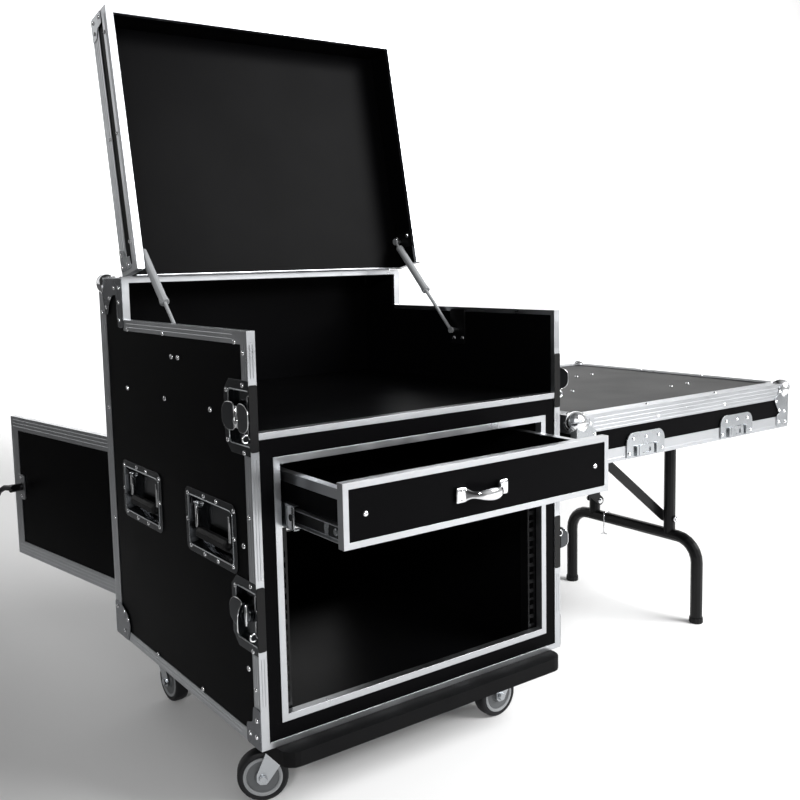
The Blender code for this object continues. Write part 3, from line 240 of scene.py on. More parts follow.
def rail_finish():
    coat = "#0c0c0d"
    bare = "#c6c9cc"
    made, tree, shader, place = new_finish("rack_rail_coat", coat, 0.0, 0.36, Specular_IOR_Level=0.2)
    apart = add(tree, "ShaderNodeSeparateXYZ", {"Vector": place})
    above = add(tree, "ShaderNodeMath", {0: apart.outputs["Z"], 1: RAIL_SPLIT}, operation="GREATER_THAN")
    tint = add(tree, "ShaderNodeMix", {"Factor": above, 6: linear(coat), 7: linear(bare)},
               data_type="RGBA", blend_type="MIX")
    fill(tree, shader, {"Base Color": tint.outputs[2], "Metallic": above})
    return made


RAIL = rail_finish()
print("made", RAIL.name)

# %% [markdown]
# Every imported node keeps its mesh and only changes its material. The record says which
# slot each node is made of, so one table turns slots into finishes: the first of a row
# dresses the nodes, and the others are kinds of the same slot for the added pieces.

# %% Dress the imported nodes
FINISHES_OF_SLOT = {
    "laminated_ply": [LAMINATE],
    "edge_aluminium": [ALUMINIUM],
    "zinc_plate": [ZINC, SHADED_DISH, SHADED_ZINC],
    "bright_chrome": [CHROME, SHADED_CHROME],
    "black_steel": [BLACK_STEEL],
    "black_rubber": [RUBBER],
    "grey_tyre": [TYRE, WHEEL_GREY, RING_GREY],
}
# The dishes take the zinc with the painted shade.
OWN_FINISH = {"rack_rail": RAIL, "latch_dish": SHADED_DISH, "handle_dish": SHADED_DISH, "strut_": SILVER,
              "caster_board": BOARD}
for part in frame["record"]["subparts"]:
    mesh = frame["nodes"][part["node"]].data
    mesh.materials.clear()
    own = [finish for start, finish in OWN_FINISH.items() if part["node"].startswith(start)]
    mesh.materials.append(own[0] if own else FINISHES_OF_SLOT[part["material_slot"]][0])

# %% [markdown]
# Every added piece is drawn in a plane or about an axis and then put in its place, and
# the finished object stays at the origin with the place in its mesh. One function
# finishes a mesh: normals out, smooth shading with sharp folds, material and body.

# %% Finish a piece
def placed(name, data):
    made = bpy.data.objects.new(name, data)
    bpy.context.scene.collection.objects.link(made)
    return made


def mesh_of(name, bm):
    mesh = bpy.data.meshes.new(name)
    bm.to_mesh(mesh)
    bm.free()
    return mesh


def shaded(name, bm, smooth):
    """A closed solid's mesh: normals out, smooth, sharp at folds past an angle."""
    bm.normal_update()
    bmesh.ops.recalc_face_normals(bm, faces=bm.faces[:])
    mesh = mesh_of(name, bm)
    mesh.shade_smooth()
    mesh.set_sharp_from_angle(angle=radians(smooth))
    return mesh


def piece(name, bm, body, finish, smooth=35.0, bevel=0.0):
    """Turn a mesh under construction into a finished piece that rides on a body."""
    bmesh.ops.transform(bm, matrix=MIDDLE, verts=bm.verts[:])
    made = placed(name, shaded(name, bm, smooth))
    made.data.materials.append(finish)
    if bevel:
        change = made.modifiers.new("arris", "BEVEL")
        change.width = bevel
        change.segments = 2
        change.limit_method = "ANGLE"
        change.harden_normals = True
    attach(made, body)
    print(name, len(made.data.polygons), "faces")
    return made


# %% [markdown]
# Most small parts are flat outlines with a thickness or turned profiles. Both are rings
# of points with faces between them, so one function closes them all.

# %% Solids from rings
SHEET = 0.0012  # thickness of the pressed braces


def stack(bm, rings, at=None, closed=False):
    """Join matching rings of points, and cap the ends or join them to each other."""
    at = at or Matrix()
    made = [[bm.verts.new(at @ Vector(p)) for p in ring] for ring in rings]
    count = len(made[0])
    following = made[1:] + made[:1] if closed else made[1:]
    for a, b in zip(made, following):
        for i in range(count):
            j = (i + 1) % count
            bm.faces.new((a[i], a[j], b[j], b[i]))
    if not closed:
        bm.faces.new(made[0][::-1])
        bm.faces.new(made[-1])


def plate(bm, outline, at, thick=SHEET, base=0.0):
    """A flat plate from an outline in a face's own two directions."""
    stack(bm, [[(a, b, height) for a, b in outline] for height in (base, base + thick)], at)


def circle(radius, height, sides, start=0.0):
    """Even points round the local Z axis."""
    turns = [start + 2 * pi * k / sides for k in range(sides)]
    return [(radius * cos(a), radius * sin(a), height) for a in turns]


def lathe(bm, profile, at=None, sides=24):
    """Turn (radius, height) points about the local Z axis into a closed solid."""
    stack(bm, [circle(r, h, sides) for r, h in profile], at)


def closed_ring(bm, profile, at, sides=40):
    """Turn a closed profile that stands clear of the axis."""
    turns = [2 * pi * k / sides for k in range(sides)]
    stack(bm, [[(r * cos(a), r * sin(a), h) for r, h in profile] for a in turns], at, closed=True)


# %% [markdown]
# Pressed parts have rounded outlines. An outline is a list of points in a plane, so that
# it can be rounded, mirrored and moved before it becomes a plate or a wire.

# %% Outlines
def round_corners(outline, radius, steps=4):
    """Round each corner of a closed outline."""
    made = []
    count = len(outline)
    for i in range(count):
        here = Vector(outline[i])
        back_way = Vector(outline[i - 1]) - here
        ahead = Vector(outline[(i + 1) % count]) - here
        reach = min(radius, back_way.length * 0.45, ahead.length * 0.45)
        start = here + back_way.normalized() * reach
        end = here + ahead.normalized() * reach
        for step in range(steps + 1):
            t = step / steps
            spot = start * (1 - t) ** 2 + here * 2 * t * (1 - t) + end * t * t
            made.append((spot.x, spot.y))
    return made


def rectangle(a0, a1, b0, b1):
    return [(a0, b0), (a1, b0), (a1, b1), (a0, b1)]


def mirrored(half):
    """Points and then the same ones with the second measure negated, backwards."""
    return half + [(a, -b) for a, b in reversed(half)]


def moved(points, a0, b0, way=1):
    """Points measured from another place, mirrored for a way of -1."""
    return [(a0 + way * a, b0 + b) for a, b in points]


def row(places, level):
    """Spots side by side at one level."""
    return [(place, level) for place in places]


# %% [markdown]
# A face is a small frame of its own: two directions to draw in and one that points
# outwards. The open lid and the rear door have a frame each, turned about their hinges,
# so what is on them is written as if they were closed.

# %% Faces to draw on
def frame_of(origin, along, up, out):
    """The matrix whose columns are a face's two directions and its outward normal."""
    columns = [Vector(along), Vector(up), Vector(out)]
    made = Matrix([[c[i] for c in columns] for i in range(3)]).to_4x4()
    made.translation = origin
    return made


def flank(way, x, y=0.0, z=0.0):
    """A face that looks left (-1) or right (1): first direction to the back, second up."""
    return frame_of((x, y, z), (0, 1, 0), (0, 0, 1), (way, 0, 0))


def end_face(way, y, x=0.0, z=0.0):
    """A face that looks to the front (-1) or the back (1): first direction right, second up."""
    return frame_of((x, y, z), (1, 0, 0), (0, 0, 1), (0, way, 0))


def level_face(z):
    """A face that looks up: first direction right, second to the back."""
    return Matrix.Translation((0, 0, z))


def side_face(side, inside=0.0):
    return flank(side, side * (SIDE - inside))


def hand(side):
    return "right" if side > 0 else "left"


LID_ANGLE = 101.1  # degrees that the lid stands open
DOOR_ANGLE = 100
LID = Matrix.Translation((0, ROOF_FRONT - 0.003, TOP + 0.003)) @ Matrix.Rotation(radians(-LID_ANGLE), 4, "X")
DOOR = Matrix.Translation((-0.24, BACK + 0.0025, 0)) @ Matrix.Rotation(radians(DOOR_ANGLE), 4, "Z")
FRONT_FACE = end_face(-1, FRONT)
BACK_FACE = frame_of((0, BACK, 0), (-1, 0, 0), (0, 0, 1), (0, 1, 0))
print("lid hinge:", [round(v, 4) for v in LID.translation])

# %% [markdown]
# A flight case is held together by rows of fasteners: dome rivets with a dimple from
# the punch, cross-head screws and hexagon bolts. Each head is drawn once, with a few
# dozen faces, as a pattern for the tree below.

# %% The three fastener heads
SUNK = -0.0002  # how far a head or a rib is let into its face


def rivet_head(bm):
    dome = [(0.0036, SUNK), (0.0034, 0.0008), (0.0026, 0.0017), (0.0014, 0.0021), (0.0009, 0.0017)]
    lathe(bm, dome, sides=10)


def screw_head(bm):
    """A pan head whose cross recess is a twelve-point ring let into its top."""
    reach, width = 0.0019, 0.0005
    cross = []
    for turn in range(4):
        a = pi / 2 * turn
        for x, y in ((reach, width), (width, width), (width, reach)):
            cross.append((x * cos(a) - y * sin(a), x * sin(a) + y * cos(a)))
    rings = [circle(radius, height, 12, radians(15)) for radius, height in
             ((0.0042, SUNK), (0.004, 0.001), (0.0027, 0.0021))]
    rings += [[(x * size, y * size, height) for x, y in cross]
              for size, height in ((1, 0.0022), (0.8, 0.0008))]
    stack(bm, rings)


def bolt_head(bm):
    lathe(bm, [(0.007, SUNK), (0.007, 0.0011)], sides=20)
    lathe(bm, [(0.0052, 0.0011), (0.0052, 0.0042), (0.0044, 0.0049)], sides=6)


def pattern(build):
    bm = bmesh.new()
    build(bm)
    return placed(build.__name__, shaded(build.__name__, bm, 40))


RIVET, SCREW, BOLT = [pattern(build) for build in (rivet_head, screw_head, bolt_head)]
print("faces:", [len(h.data.polygons) for h in (RIVET, SCREW, BOLT)])

# %% [markdown]
# Setting hundreds of heads by hand would be slow and would leave them all turned alike.
# A Geometry Nodes tree puts the head on every point of a point list, turned to the face
# it sits on, gives each its own fixed spin, and realises the result.

# %% The tree that sets the heads
def new_tree(name, inputs):
    """A modifier tree with geometry, some named inputs and a finish, and its input sockets."""
    tree = bpy.data.node_groups.new(name, "GeometryNodeTree")
    tree.is_modifier = True
    for label, kind in {"Geometry": "Geometry", **inputs, "Finish": "Material"}.items():
        tree.interface.new_socket(name=label, in_out="INPUT", socket_type="NodeSocket" + kind)
    tree.interface.new_socket(name="Geometry", in_out="OUTPUT", socket_type="NodeSocketGeometry")
    return tree, add(tree, "NodeGroupInput").outputs


def end_tree(tree, geometry, finish):
    """Realise the copies, which are lost otherwise, and give them their material."""
    real = add(tree, "GeometryNodeRealizeInstances", {"Geometry": geometry})
    painted = add(tree, "GeometryNodeSetMaterial", {"Geometry": real, "Material": finish})
    add(tree, "NodeGroupOutput", {"Geometry": painted})


def fastener_tree():
    tree, given = new_tree("set_fasteners", {"Head": "Object", "Size": "Float"})
    facing = add(tree, "GeometryNodeInputNamedAttribute", data_type="FLOAT_VECTOR", Name="facing")
    turn = add(tree, "FunctionNodeAlignRotationToVector", {"Vector": facing}, axis="Z")
    chance = add(tree, "FunctionNodeRandomValue", {3: 2 * pi}, data_type="FLOAT", Seed=7)
    spin = add(tree, "FunctionNodeAxisAngleToRotation", {"Angle": chance.outputs[1]})
    both = add(tree, "FunctionNodeRotateRotation", {"Rotation": turn, "Rotate By": spin},
               rotation_space="LOCAL")
    head = add(tree, "GeometryNodeObjectInfo", {"Object": given["Head"]}).outputs["Geometry"]
    copies = add(tree, "GeometryNodeInstanceOnPoints", {"Points": given["Geometry"], "Instance": head,
                                                        "Rotation": both, "Scale": given["Size"]})
    end_tree(tree, copies, given["Finish"])
    return tree


FASTENERS = fastener_tree()
print("nodes in the tree:", len(FASTENERS.nodes))

# %% [markdown]
# A tree's result lasts only as long as its modifier. One helper runs a tree on a
# carrier, keeps the evaluated mesh as a plain piece and throws the carrier away.

# %% Keep what a tree makes
def grown(name, tree, mesh, sizes, body, finish):
    """Run a tree on a mesh, keep the plain result, and let it ride on its body."""
    carrier = placed(name + "_carrier", mesh)
    change = carrier.modifiers.new("nodes", "NODES")
    change.node_group = tree
    values = {**sizes, "Finish": finish}
    for item in tree.interface.items_tree:
        if item.in_out == "INPUT" and item.name in values:
            change[item.identifier] = values[item.name]
    bpy.context.view_layer.update()
    graph = bpy.context.evaluated_depsgraph_get()
    plain = bpy.data.meshes.new_from_object(carrier.evaluated_get(graph))
    plain.name = name
    bpy.data.objects.remove(carrier, do_unlink=True)
    made = placed(name, plain)
    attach(made, body)
    return made


# %% [markdown]
# Rolled ribs on the edge sections, beaded rims of the pressed dishes, eyes and bent wire
# all follow a path. A second tree turns line meshes into curves and sweeps a round
# section along them.

# %% The tree that sweeps wires and ribs
def wire_tree():
    tree, given = new_tree("sweep_wires", {"Radius": "Float"})
    line = add(tree, "GeometryNodeMeshToCurve", {"Mesh": given["Geometry"]})
    ring = add(tree, "GeometryNodeCurvePrimitiveCircle", {"Radius": given["Radius"]},
               mode="RADIUS", Resolution=8)
    wire = add(tree, "GeometryNodeCurveToMesh", {"Curve": line, "Profile Curve": ring}, Fill_Caps=True)
    end_tree(tree, wire, given["Finish"])
    return tree


WIRES = wire_tree()
print("nodes in the tree:", len(WIRES.nodes))

# %% [markdown]
# Both trees start from a mesh of bare points or edges. These helpers turn spots on a
# face into such a mesh, and run the right tree on it.

# %% Heads and wires on a face
def on_plane(at, points, lift=0.0):
    """Points in a face's frame as places of the case."""
    return [at @ Vector((a, b, lift)) for a, b in points]


def on_face(at, points, lift=0.0):
    """The same places, each with the direction that the face looks in."""
    out = (at.to_3x3() @ Vector((0, 0, 1))).normalized()
    return [(place, out) for place in on_plane(at, points, lift)]


def fasten(name, head, spots, body, size=1.0, finish=CHROME):
    """Set one kind of head on every (place, outward direction) of a body."""
    mesh = bpy.data.meshes.new(name + "_points")
    mesh.from_pydata([MIDDLE @ place for place, _ in spots], [], [])
    facing = mesh.attributes.new("facing", "FLOAT_VECTOR", "POINT")
    for i, (_, out) in enumerate(spots):
        facing.data[i].vector = out
    grown(name, FASTENERS, mesh, {"Head": head, "Size": size}, body, finish)
    print(name, len(spots), "heads")


def wires(name, paths, radius, body, finish, closed=False):
    """Sweep a round wire along every path of case places."""
    points = []
    edges = []
    for path in paths:
        first = len(points)
        points += [MIDDLE @ Vector(p) for p in path]
        edges += [(first + i, first + i + 1) for i in range(len(path) - 1)]
        if closed:
            edges.append((first + len(path) - 1, first))
    mesh = bpy.data.meshes.new(name + "_lines")
    mesh.from_pydata(points, edges, [])
    made = grown(name, WIRES, mesh, {"Radius": radius}, body, finish)
    made.data.shade_smooth()
    made.data.set_sharp_from_angle(angle=radians(60))
    print(name, len(paths), "paths")


# %% [markdown]
# The side's fasteners are read from the photograph: rivets through the edge sections and
# the dish lips, and screws that hold the struts, rails and tray from outside. Both
# sides are made alike.

# %% Rivets and screws of the case
EDGE_RIVETS = [(0.146, 0.6745), (-0.239, 0.6745), (-0.2625, 0.661), (0.253, 0.532), (0.253, 0.333),
               (0.083, 0.1345), (-0.09, 0.1375), (-0.2625, 0.44), (-0.2625, 0.2), (0.0, 0.6745)]
BRACE_RIVETS = [(0.196, 0.743), (0.174, 0.743), (0.177, 0.719), (0.177, 0.689), (0.22, 0.725), (0.237, 0.709),
                (0.229, 0.166), (0.214, 0.1545), (0.231, 0.13), (-0.264, 0.156), (-0.244, 0.131),
                (-0.262, 0.132), (0.259, 0.7), (0.262, 0.166)]
BOARD_SCREWS = [(0.162, 0.575), (0.007, 0.573), (-0.154, 0.574), (-0.026, 0.6405), (-0.05, 0.6405),
                (-0.241, 0.396), (-0.242, 0.2225)]
HANDLE_CENTRES = (-0.14, 0.119)
HANDLE_Z = 0.399
LIP_HALF = (0.0765, 0.0435)
LATCHES = {"lower": 0.3, "upper": 0.574}
DISH_RIVETS = {"upper": [(-0.257, 0.044), (-0.21, 0.034), (-0.209, -0.035), (-0.256, -0.047)],
               "lower": [(-0.259, 0.044), (-0.213, 0.034), (-0.212, 0.0), (-0.259, -0.047)]}


def handle_rivets(centre):
    a, b = LIP_HALF
    spots = [(-a, b - 0.003), (-0.023, b), (0.018, b), (a - 0.004, b - 0.004), (-a + 0.001, 0.001),
             (a, -0.001), (-a + 0.006, -b + 0.004), (-0.023, -b), (0.021, -b), (a - 0.008, -b + 0.003)]
    return moved(spots, centre, HANDLE_Z)


rivets = []
screws = []
for side in (-1, 1):
    face = side_face(side)
    rivets += on_face(face, EDGE_RIVETS)
    rivets += on_face(face, BRACE_RIVETS, SHEET)
    for centre in HANDLE_CENTRES:
        rivets += on_face(face, handle_rivets(centre))
    for level, z in LATCHES.items():
        rivets += on_face(face, moved(DISH_RIVETS[level], 0.0, z))
    screws += on_face(side_face(side, 0.0015), BOARD_SCREWS)
print("side rivets:", len(rivets))

# %% [markdown]
# The back and the roof follow usual practice: a rivet about every 100 mm along each
# section, and a row through the hinge leaf.

# %% Rivets of the case's back and roof
ACROSS = (-0.2, -0.1, 0.0, 0.1, 0.2)
EDGE_X = 0.2745  # middle of an upright section
HINGE_ROW = (-0.23, -0.14, -0.05, 0.05, 0.14, 0.23)
ROOF_FACE = level_face(TOP)
rivets += on_face(BACK_FACE, row(ACROSS, 0.745) + row(ACROSS, 0.13))
for side in (-1, 1):
    rivets += on_face(BACK_FACE, [(side * EDGE_X, z) for z in (0.22, 0.34, 0.46, 0.58, 0.68)])
    rivets += on_face(ROOF_FACE, [(side * 0.281, y) for y in (0.185, 0.235)])
rivets += on_face(ROOF_FACE, row(ACROSS, 0.259))
rivets += on_face(ROOF_FACE, row(HINGE_ROW, 0.1755), 0.004)
fasten("case_rivets", RIVET, rivets, "case")
fasten("case_screws", SCREW, screws, "case")

# %% [markdown]
# Pressed corner braces spread the load of a knock. They are flat plates of zinc, darkened
# by a painted shade, with rounded outlines, laid over the edge sections and riveted.

# %% Corner braces of the case
SIDE_BRACES = [
    [(-0.274, 0.115), (-0.233, 0.115), (-0.233, 0.144), (-0.251, 0.15), (-0.254, 0.174), (-0.274, 0.174)],
    [(0.274, 0.115), (0.215, 0.115), (0.204, 0.144), (0.215, 0.164), (0.244, 0.176), (0.274, 0.176)],
    [(0.163, 0.759), (0.244, 0.759), (0.258, 0.74), (0.244, 0.696), (0.233, 0.696), (0.224, 0.715),
     (0.208, 0.73), (0.19, 0.732), (0.186, 0.7), (0.186, 0.676), (0.163, 0.676)],
]
BACK_BRACE = [(0.289, 0.115), (0.238, 0.115), (0.238, 0.143), (0.259, 0.15), (0.26, 0.176), (0.289, 0.176)]


def case_braces():
    bm = bmesh.new()
    for side in (-1, 1):
        for outline in SIDE_BRACES:
            plate(bm, round_corners(outline, 0.005, 3), side_face(side))
        plate(bm, round_corners(moved(BACK_BRACE, 0.0, 0.0, side), 0.005, 3), BACK_FACE)
    # The case's braces take the zinc with the painted shade.
    piece("case_corner_braces", bm, "case", SHADED_ZINC, bevel=0.0004)


case_braces()

# %% [markdown]
# The edge sections are rolled with fine ribs along them. They stop at the latch dishes
# and run under the braces.

# %% Ribs of the case's edge sections
RIB = 0.0008
CLEAR = [(0.178, 0.246), (0.3545, 0.52), (0.628, 0.672)]  # heights between the dishes


def ribs_up(face, places, start, end):
    """Lines along a face's second direction, a little sunk into it."""
    return [on_plane(face, [(a, start), (a, end)], SUNK) for a in places]


def ribs_along(face, levels, start, end):
    """Lines along a face's first direction, a little sunk into it."""
    return [on_plane(face, [(start, b), (end, b)], SUNK) for b in levels]


def case_ribs():
    lines = []
    for side in (-1, 1):
        face = side_face(side)
        for z0, z1 in CLEAR:
            lines += ribs_up(face, (FRONT + 0.006, FRONT + 0.012), z0, z1)
        lines += ribs_up(face, (BACK - 0.01, BACK - 0.019), 0.178, 0.69)
        lines += ribs_along(face, (STEP - 0.006, STEP - 0.012), -0.232, 0.152)
        lines += ribs_along(face, (BASE + 0.006, BASE + 0.012), -0.22, 0.196)
        for x in (side * (SIDE - 0.0042), side * (SIDE - 0.0084)):
            for z0, z1 in CLEAR:
                lines += ribs_up(FRONT_FACE, [x], z0, z1)
    lines += ribs_along(BACK_FACE, (TOP - 0.01, TOP - 0.019, BASE + 0.01, BASE + 0.019), -0.23, 0.23)
    wires("case_edge_ribs", lines, RIB, "case", ALUMINIUM)


case_ribs()

# %% [markdown]
# The case's two top back corners wear a ball: a pressed dome on a rolled flange, which
# takes the knocks. It is turned about the corner's diagonal. The real ball is a shell, so what
# would stand inside the boards is cut away with a cube.

# %% Ball corners
BALL = [(0.01, -0.015), (0.0196, -0.0062), (0.0204, -0.0045), (0.0198, -0.0028), (0.0187, -0.002)]
BALL += [(0.0185 * cos(radians(a)), 0.0185 * sin(radians(a))) for a in (6, 20, 34, 48, 62, 74, 84)]
BALL_INSET = 0.0115
ROOM = 0.046  # the cutting cube
ROOM_INSET = 0.033


def ball_corners(name, body, corners):
    """Balls over box corners, hollowed out where the boards' inner faces meet."""
    bm = bmesh.new()
    rooms = bmesh.new()
    for corner, inward in corners:
        corner, inward = Vector(corner), Vector(inward)
        turn = (-inward).to_track_quat("Z", "Y").to_matrix().to_4x4()
        lathe(bm, BALL, Matrix.Translation(corner + inward * BALL_INSET) @ turn, 36)
        centre = Matrix.Translation(corner + inward * ROOM_INSET)
        bmesh.ops.create_cube(rooms, size=ROOM, matrix=MIDDLE @ centre)
    made = piece(name, bm, body, CHROME, smooth=50.0)
    cutter = placed(name + "_rooms", mesh_of(name + "_rooms", rooms))
    change = made.modifiers.new("rooms", "BOOLEAN")
    change.operation = "DIFFERENCE"
    change.solver = "EXACT"
    change.object = cutter
    bpy.context.view_layer.update()
    carved = bpy.data.meshes.new_from_object(made.evaluated_get(bpy.context.evaluated_depsgraph_get()))
    made.modifiers.clear()
    made.data = carved
    bpy.data.objects.remove(cutter, do_unlink=True)


ball_corners("case_ball_corners", "case", [((side * SIDE, BACK, TOP), (-side, -1, -1)) for side in (-1, 1)])

# %% [markdown]
# The lid has the same rivets and braces on its two sides. They are written in the lid's
# own frame, closed, and its matrix turns them to where the open lid stands.

# %% Rivets and braces of the lid
LID_SIDE_RIVETS = [(-0.392, -0.0575), (-0.223, -0.0238), (-0.0455, -0.0545), (-0.223, -0.0575)]
LID_BRACE_RIVETS = [(-0.4237, -0.042), (-0.4244, -0.0147), (-0.4053, -0.0163), (-0.031, -0.0138),
                    (-0.0114, -0.037), (-0.0121, -0.0105)]
LID_BRACES = [
    [(-0.433, -0.004), (-0.433, -0.05), (-0.411, -0.05), (-0.4085, -0.03), (-0.394, -0.023),
     (-0.393, -0.004)],
    [(-0.042, -0.004), (-0.039, -0.02), (-0.024, -0.031), (-0.024, -0.048), (-0.004, -0.048),
     (-0.004, -0.004)],
]
LID_ROOF = LID @ level_face(-0.003)
LID_FRONT = LID @ end_face(-1, -0.433)


def lid_side(side):
    return LID @ side_face(side)


def lid_details():
    bm = bmesh.new()
    spots = []
    for side in (-1, 1):
        for outline in LID_BRACES:
            plate(bm, round_corners(outline, 0.004, 3), lid_side(side))
        spots += on_face(lid_side(side), LID_SIDE_RIVETS)
        spots += on_face(lid_side(side), LID_BRACE_RIVETS, SHEET)
    spots += on_face(LID_ROOF, row(ACROSS, -0.42))
    for side in (-1, 1):
        spots += on_face(LID_ROOF, [(side * EDGE_X, y) for y in (-0.34, -0.22, -0.1)])
    spots += on_face(LID_ROOF, row(HINGE_ROW, -0.0165), 0.001)
    spots += on_face(LID_FRONT, row(ACROSS, -0.018) + row(ACROSS, -0.058))
    piece("lid_corner_braces", bm, "lid", ZINC, bevel=0.0004)
    fasten("lid_rivets", RIVET, spots, "lid")


lid_details()

# %% [markdown]
# The lid's sections are ribbed like the case's, and a pair of ribs follows the rim of
# its sides and front.

# %% Ribs of the lid
def lid_ribs():
    lines = []
    for side in (-1, 1):
        lines += ribs_along(lid_side(side), (-0.01, -0.017, -0.024), -0.396, -0.038)
        lines += ribs_along(lid_side(side), (-0.064, -0.0685), -0.42, -0.012)
        lines += ribs_up(LID_ROOF, (side * (SIDE - 0.01), side * (SIDE - 0.019)), -0.4, -0.03)
    lines += ribs_along(LID_FRONT, (-0.013, -0.022, -0.064, -0.0685), -0.262, 0.262)
    wires("lid_edge_ribs", lines, RIB, "lid", ALUMINIUM)


lid_ribs()

# %% [markdown]
# The cover that hangs as a table has two catch plates on each long side, with a slot
# that the latch of the case hooks into, and a pressed corner brace on every corner.

# %% Catch plates of the table
TABLE_X = (0.3157, 0.9404)
TABLE_Y = (-0.286, 0.284)
TABLE_TOP = 0.5105
TABLE_LOW = 0.4205
CATCHES = (TABLE_X[0] + 0.177, TABLE_X[1] - 0.177)
CATCH_SHEET = 0.0021
CATCH_RIVETS = [(-0.034, 0.0345), (0.0, 0.035), (0.034, 0.0345), (-0.045, 0.0095), (0.045, 0.0095)]


def arch(half, low, high, radius, steps=6):
    """A plate outline with two square lower corners and two round upper ones."""
    turns = [pi / 2 * k / steps for k in range(steps + 1)]
    bend = [(half - radius + radius * cos(a), high - radius + radius * sin(a)) for a in turns]
    return [(-half, low), (half, low)] + bend + [(-a, b) for a, b in reversed(bend)]


CATCH_PLATE = arch(0.0515, 0.0027, 0.046, 0.0185)


def catch_parts(bm, x, at):
    """The raised socket of one catch: a frame with a slot, between two ears."""
    z = TABLE_LOW + 0.0115
    outer = round_corners(rectangle(x - 0.02, x + 0.02, z - 0.0095, z + 0.0105), 0.004, 3)
    inner = round_corners(rectangle(x - 0.011, x + 0.011, z - 0.0045, z + 0.0045), 0.002, 3)
    stack(bm, [[(a, b, height) for a, b in outline] for outline, height in
               ((outer, 0.0015), (outer, 0.004), (inner, 0.004), (inner, 0.0012))], at)
    for way in (-1, 1):
        ear = rectangle(x + way * 0.024, x + way * 0.029, z - 0.009, z + 0.011)
        plate(bm, round_corners(ear, 0.002, 2), at, 0.005, SHEET)


# %% [markdown]
# One brace outline serves both ends of the long sides, mirrored for the other end. The
# top has rivets along its sections and six through the leg's mount.

# %% Braces and rivets of the table
TABLE_BRACE = [(0.0, 0.003), (0.041, 0.003), (0.041, 0.027), (0.03, 0.031), (0.044, 0.05), (0.049, 0.062),
               (0.036, 0.07), (0.033, 0.085), (0.0, 0.085)]
TABLE_BRACE_RIVETS = [(0.033, 0.075), (0.044, 0.056), (0.033, 0.037), (0.0145, 0.033), (0.0335, 0.013),
                      (0.0105, 0.011)]
TOP_RIVETS = [(0.5121, -0.273), (0.7154, -0.271), (0.5121, 0.271), (0.7154, 0.271), (0.9265, -0.09),
              (0.9265, 0.075), (0.33, -0.09), (0.33, 0.075), (0.33, -0.2528), (0.348, -0.2715),
              (0.33, 0.2508), (0.348, 0.2695)]
MOUNT_RIVETS = [(0.745, -0.149), (0.803, -0.145), (0.734, 0.097), (0.791, 0.103), (0.553, -0.058),
                (0.553, 0.066)]
END_ROW = (-0.19, -0.06, 0.06, 0.19)
TABLE_FACE = level_face(TABLE_TOP)


def table_details():
    plates = bmesh.new()
    sockets = bmesh.new()
    spots = []
    for way, y in zip((-1, 1), TABLE_Y):
        face = end_face(way, y)
        for x in CATCHES:
            plate(plates, moved(CATCH_PLATE, x, TABLE_LOW), face, CATCH_SHEET)
            catch_parts(sockets, x, face)
            spots += on_face(face, moved(CATCH_RIVETS, x, TABLE_LOW), CATCH_SHEET)
        spots += on_face(face, row((0.5285, 0.7258), 0.4885))
        for end, inward in ((TABLE_X[1], -1), (TABLE_X[0], 1)):
            outline = moved(TABLE_BRACE, end, TABLE_LOW, inward)
            plate(plates, round_corners(outline, 0.005, 3), face)
            spots += on_face(face, moved(TABLE_BRACE_RIVETS, end, TABLE_LOW, inward), SHEET)
    spots += on_face(TABLE_FACE, TOP_RIVETS)
    spots += on_face(TABLE_FACE, MOUNT_RIVETS, -0.0015)
    spots += on_face(flank(1, TABLE_X[1]), row(END_ROW, 0.4955) + row(END_ROW, 0.432))
    piece("table_corner_braces", plates, "table", ZINC, bevel=0.0004)
    piece("table_catch_sockets", sockets, "table", ZINC, bevel=0.0003)
    fasten("table_rivets", RIVET, spots, "table")


table_details()

# %% [markdown]
# On the closed case the cover is an outer wall, so its corners wear balls too. Its
# sections are ribbed like the case's, and the ribs stop at the catch plates.

# %% Ball corners and ribs of the table
def table_edges():
    corners = [((x, y, TABLE_TOP), (inward_x, inward_y, -1)) for x, inward_x in zip(TABLE_X, (1, -1))
               for y, inward_y in zip(TABLE_Y, (1, -1))]
    ball_corners("table_ball_corners", "table", corners)
    left, right = TABLE_X
    insets = (0.009, 0.018, 0.025)
    stops = [left + 0.043, CATCHES[0] - 0.052, CATCHES[0] + 0.052, CATCHES[1] - 0.052, CATCHES[1] + 0.052,
             right - 0.042]
    lines = []
    for way, y in zip((-1, 1), TABLE_Y):
        face = end_face(way, y)
        lines += ribs_along(face, (0.503, 0.496, 0.489, 0.483), left + 0.042, right - 0.04)
        for x0, x1 in zip(stops[0::2], stops[1::2]):
            lines += ribs_along(face, [TABLE_LOW + 0.0065], x0, x1)
        lines += ribs_along(TABLE_FACE, [y - way * inset for inset in insets], left + 0.034, right - 0.034)
    front, back = TABLE_Y
    for end, way in zip(TABLE_X, (1, -1)):
        lines += ribs_up(TABLE_FACE, [end + way * inset for inset in insets], front + 0.034, back - 0.034)
    wires("table_edge_ribs", lines, RIB, "table", ALUMINIUM)


table_edges()

# %% [markdown]
# Pressed dishes are stiffened by a bead round their mouths. The latch dish is open at
# the front. Inside lie the two frames that the cover's catches slide into.

# %% Beads of the side fittings
CUP = mirrored([(0.001, 0.037), (0.054, 0.037), (0.0585, 0.0325)])
BEAD = 0.0011
PROUD = 0.0004  # how far a bead's middle stands off the side


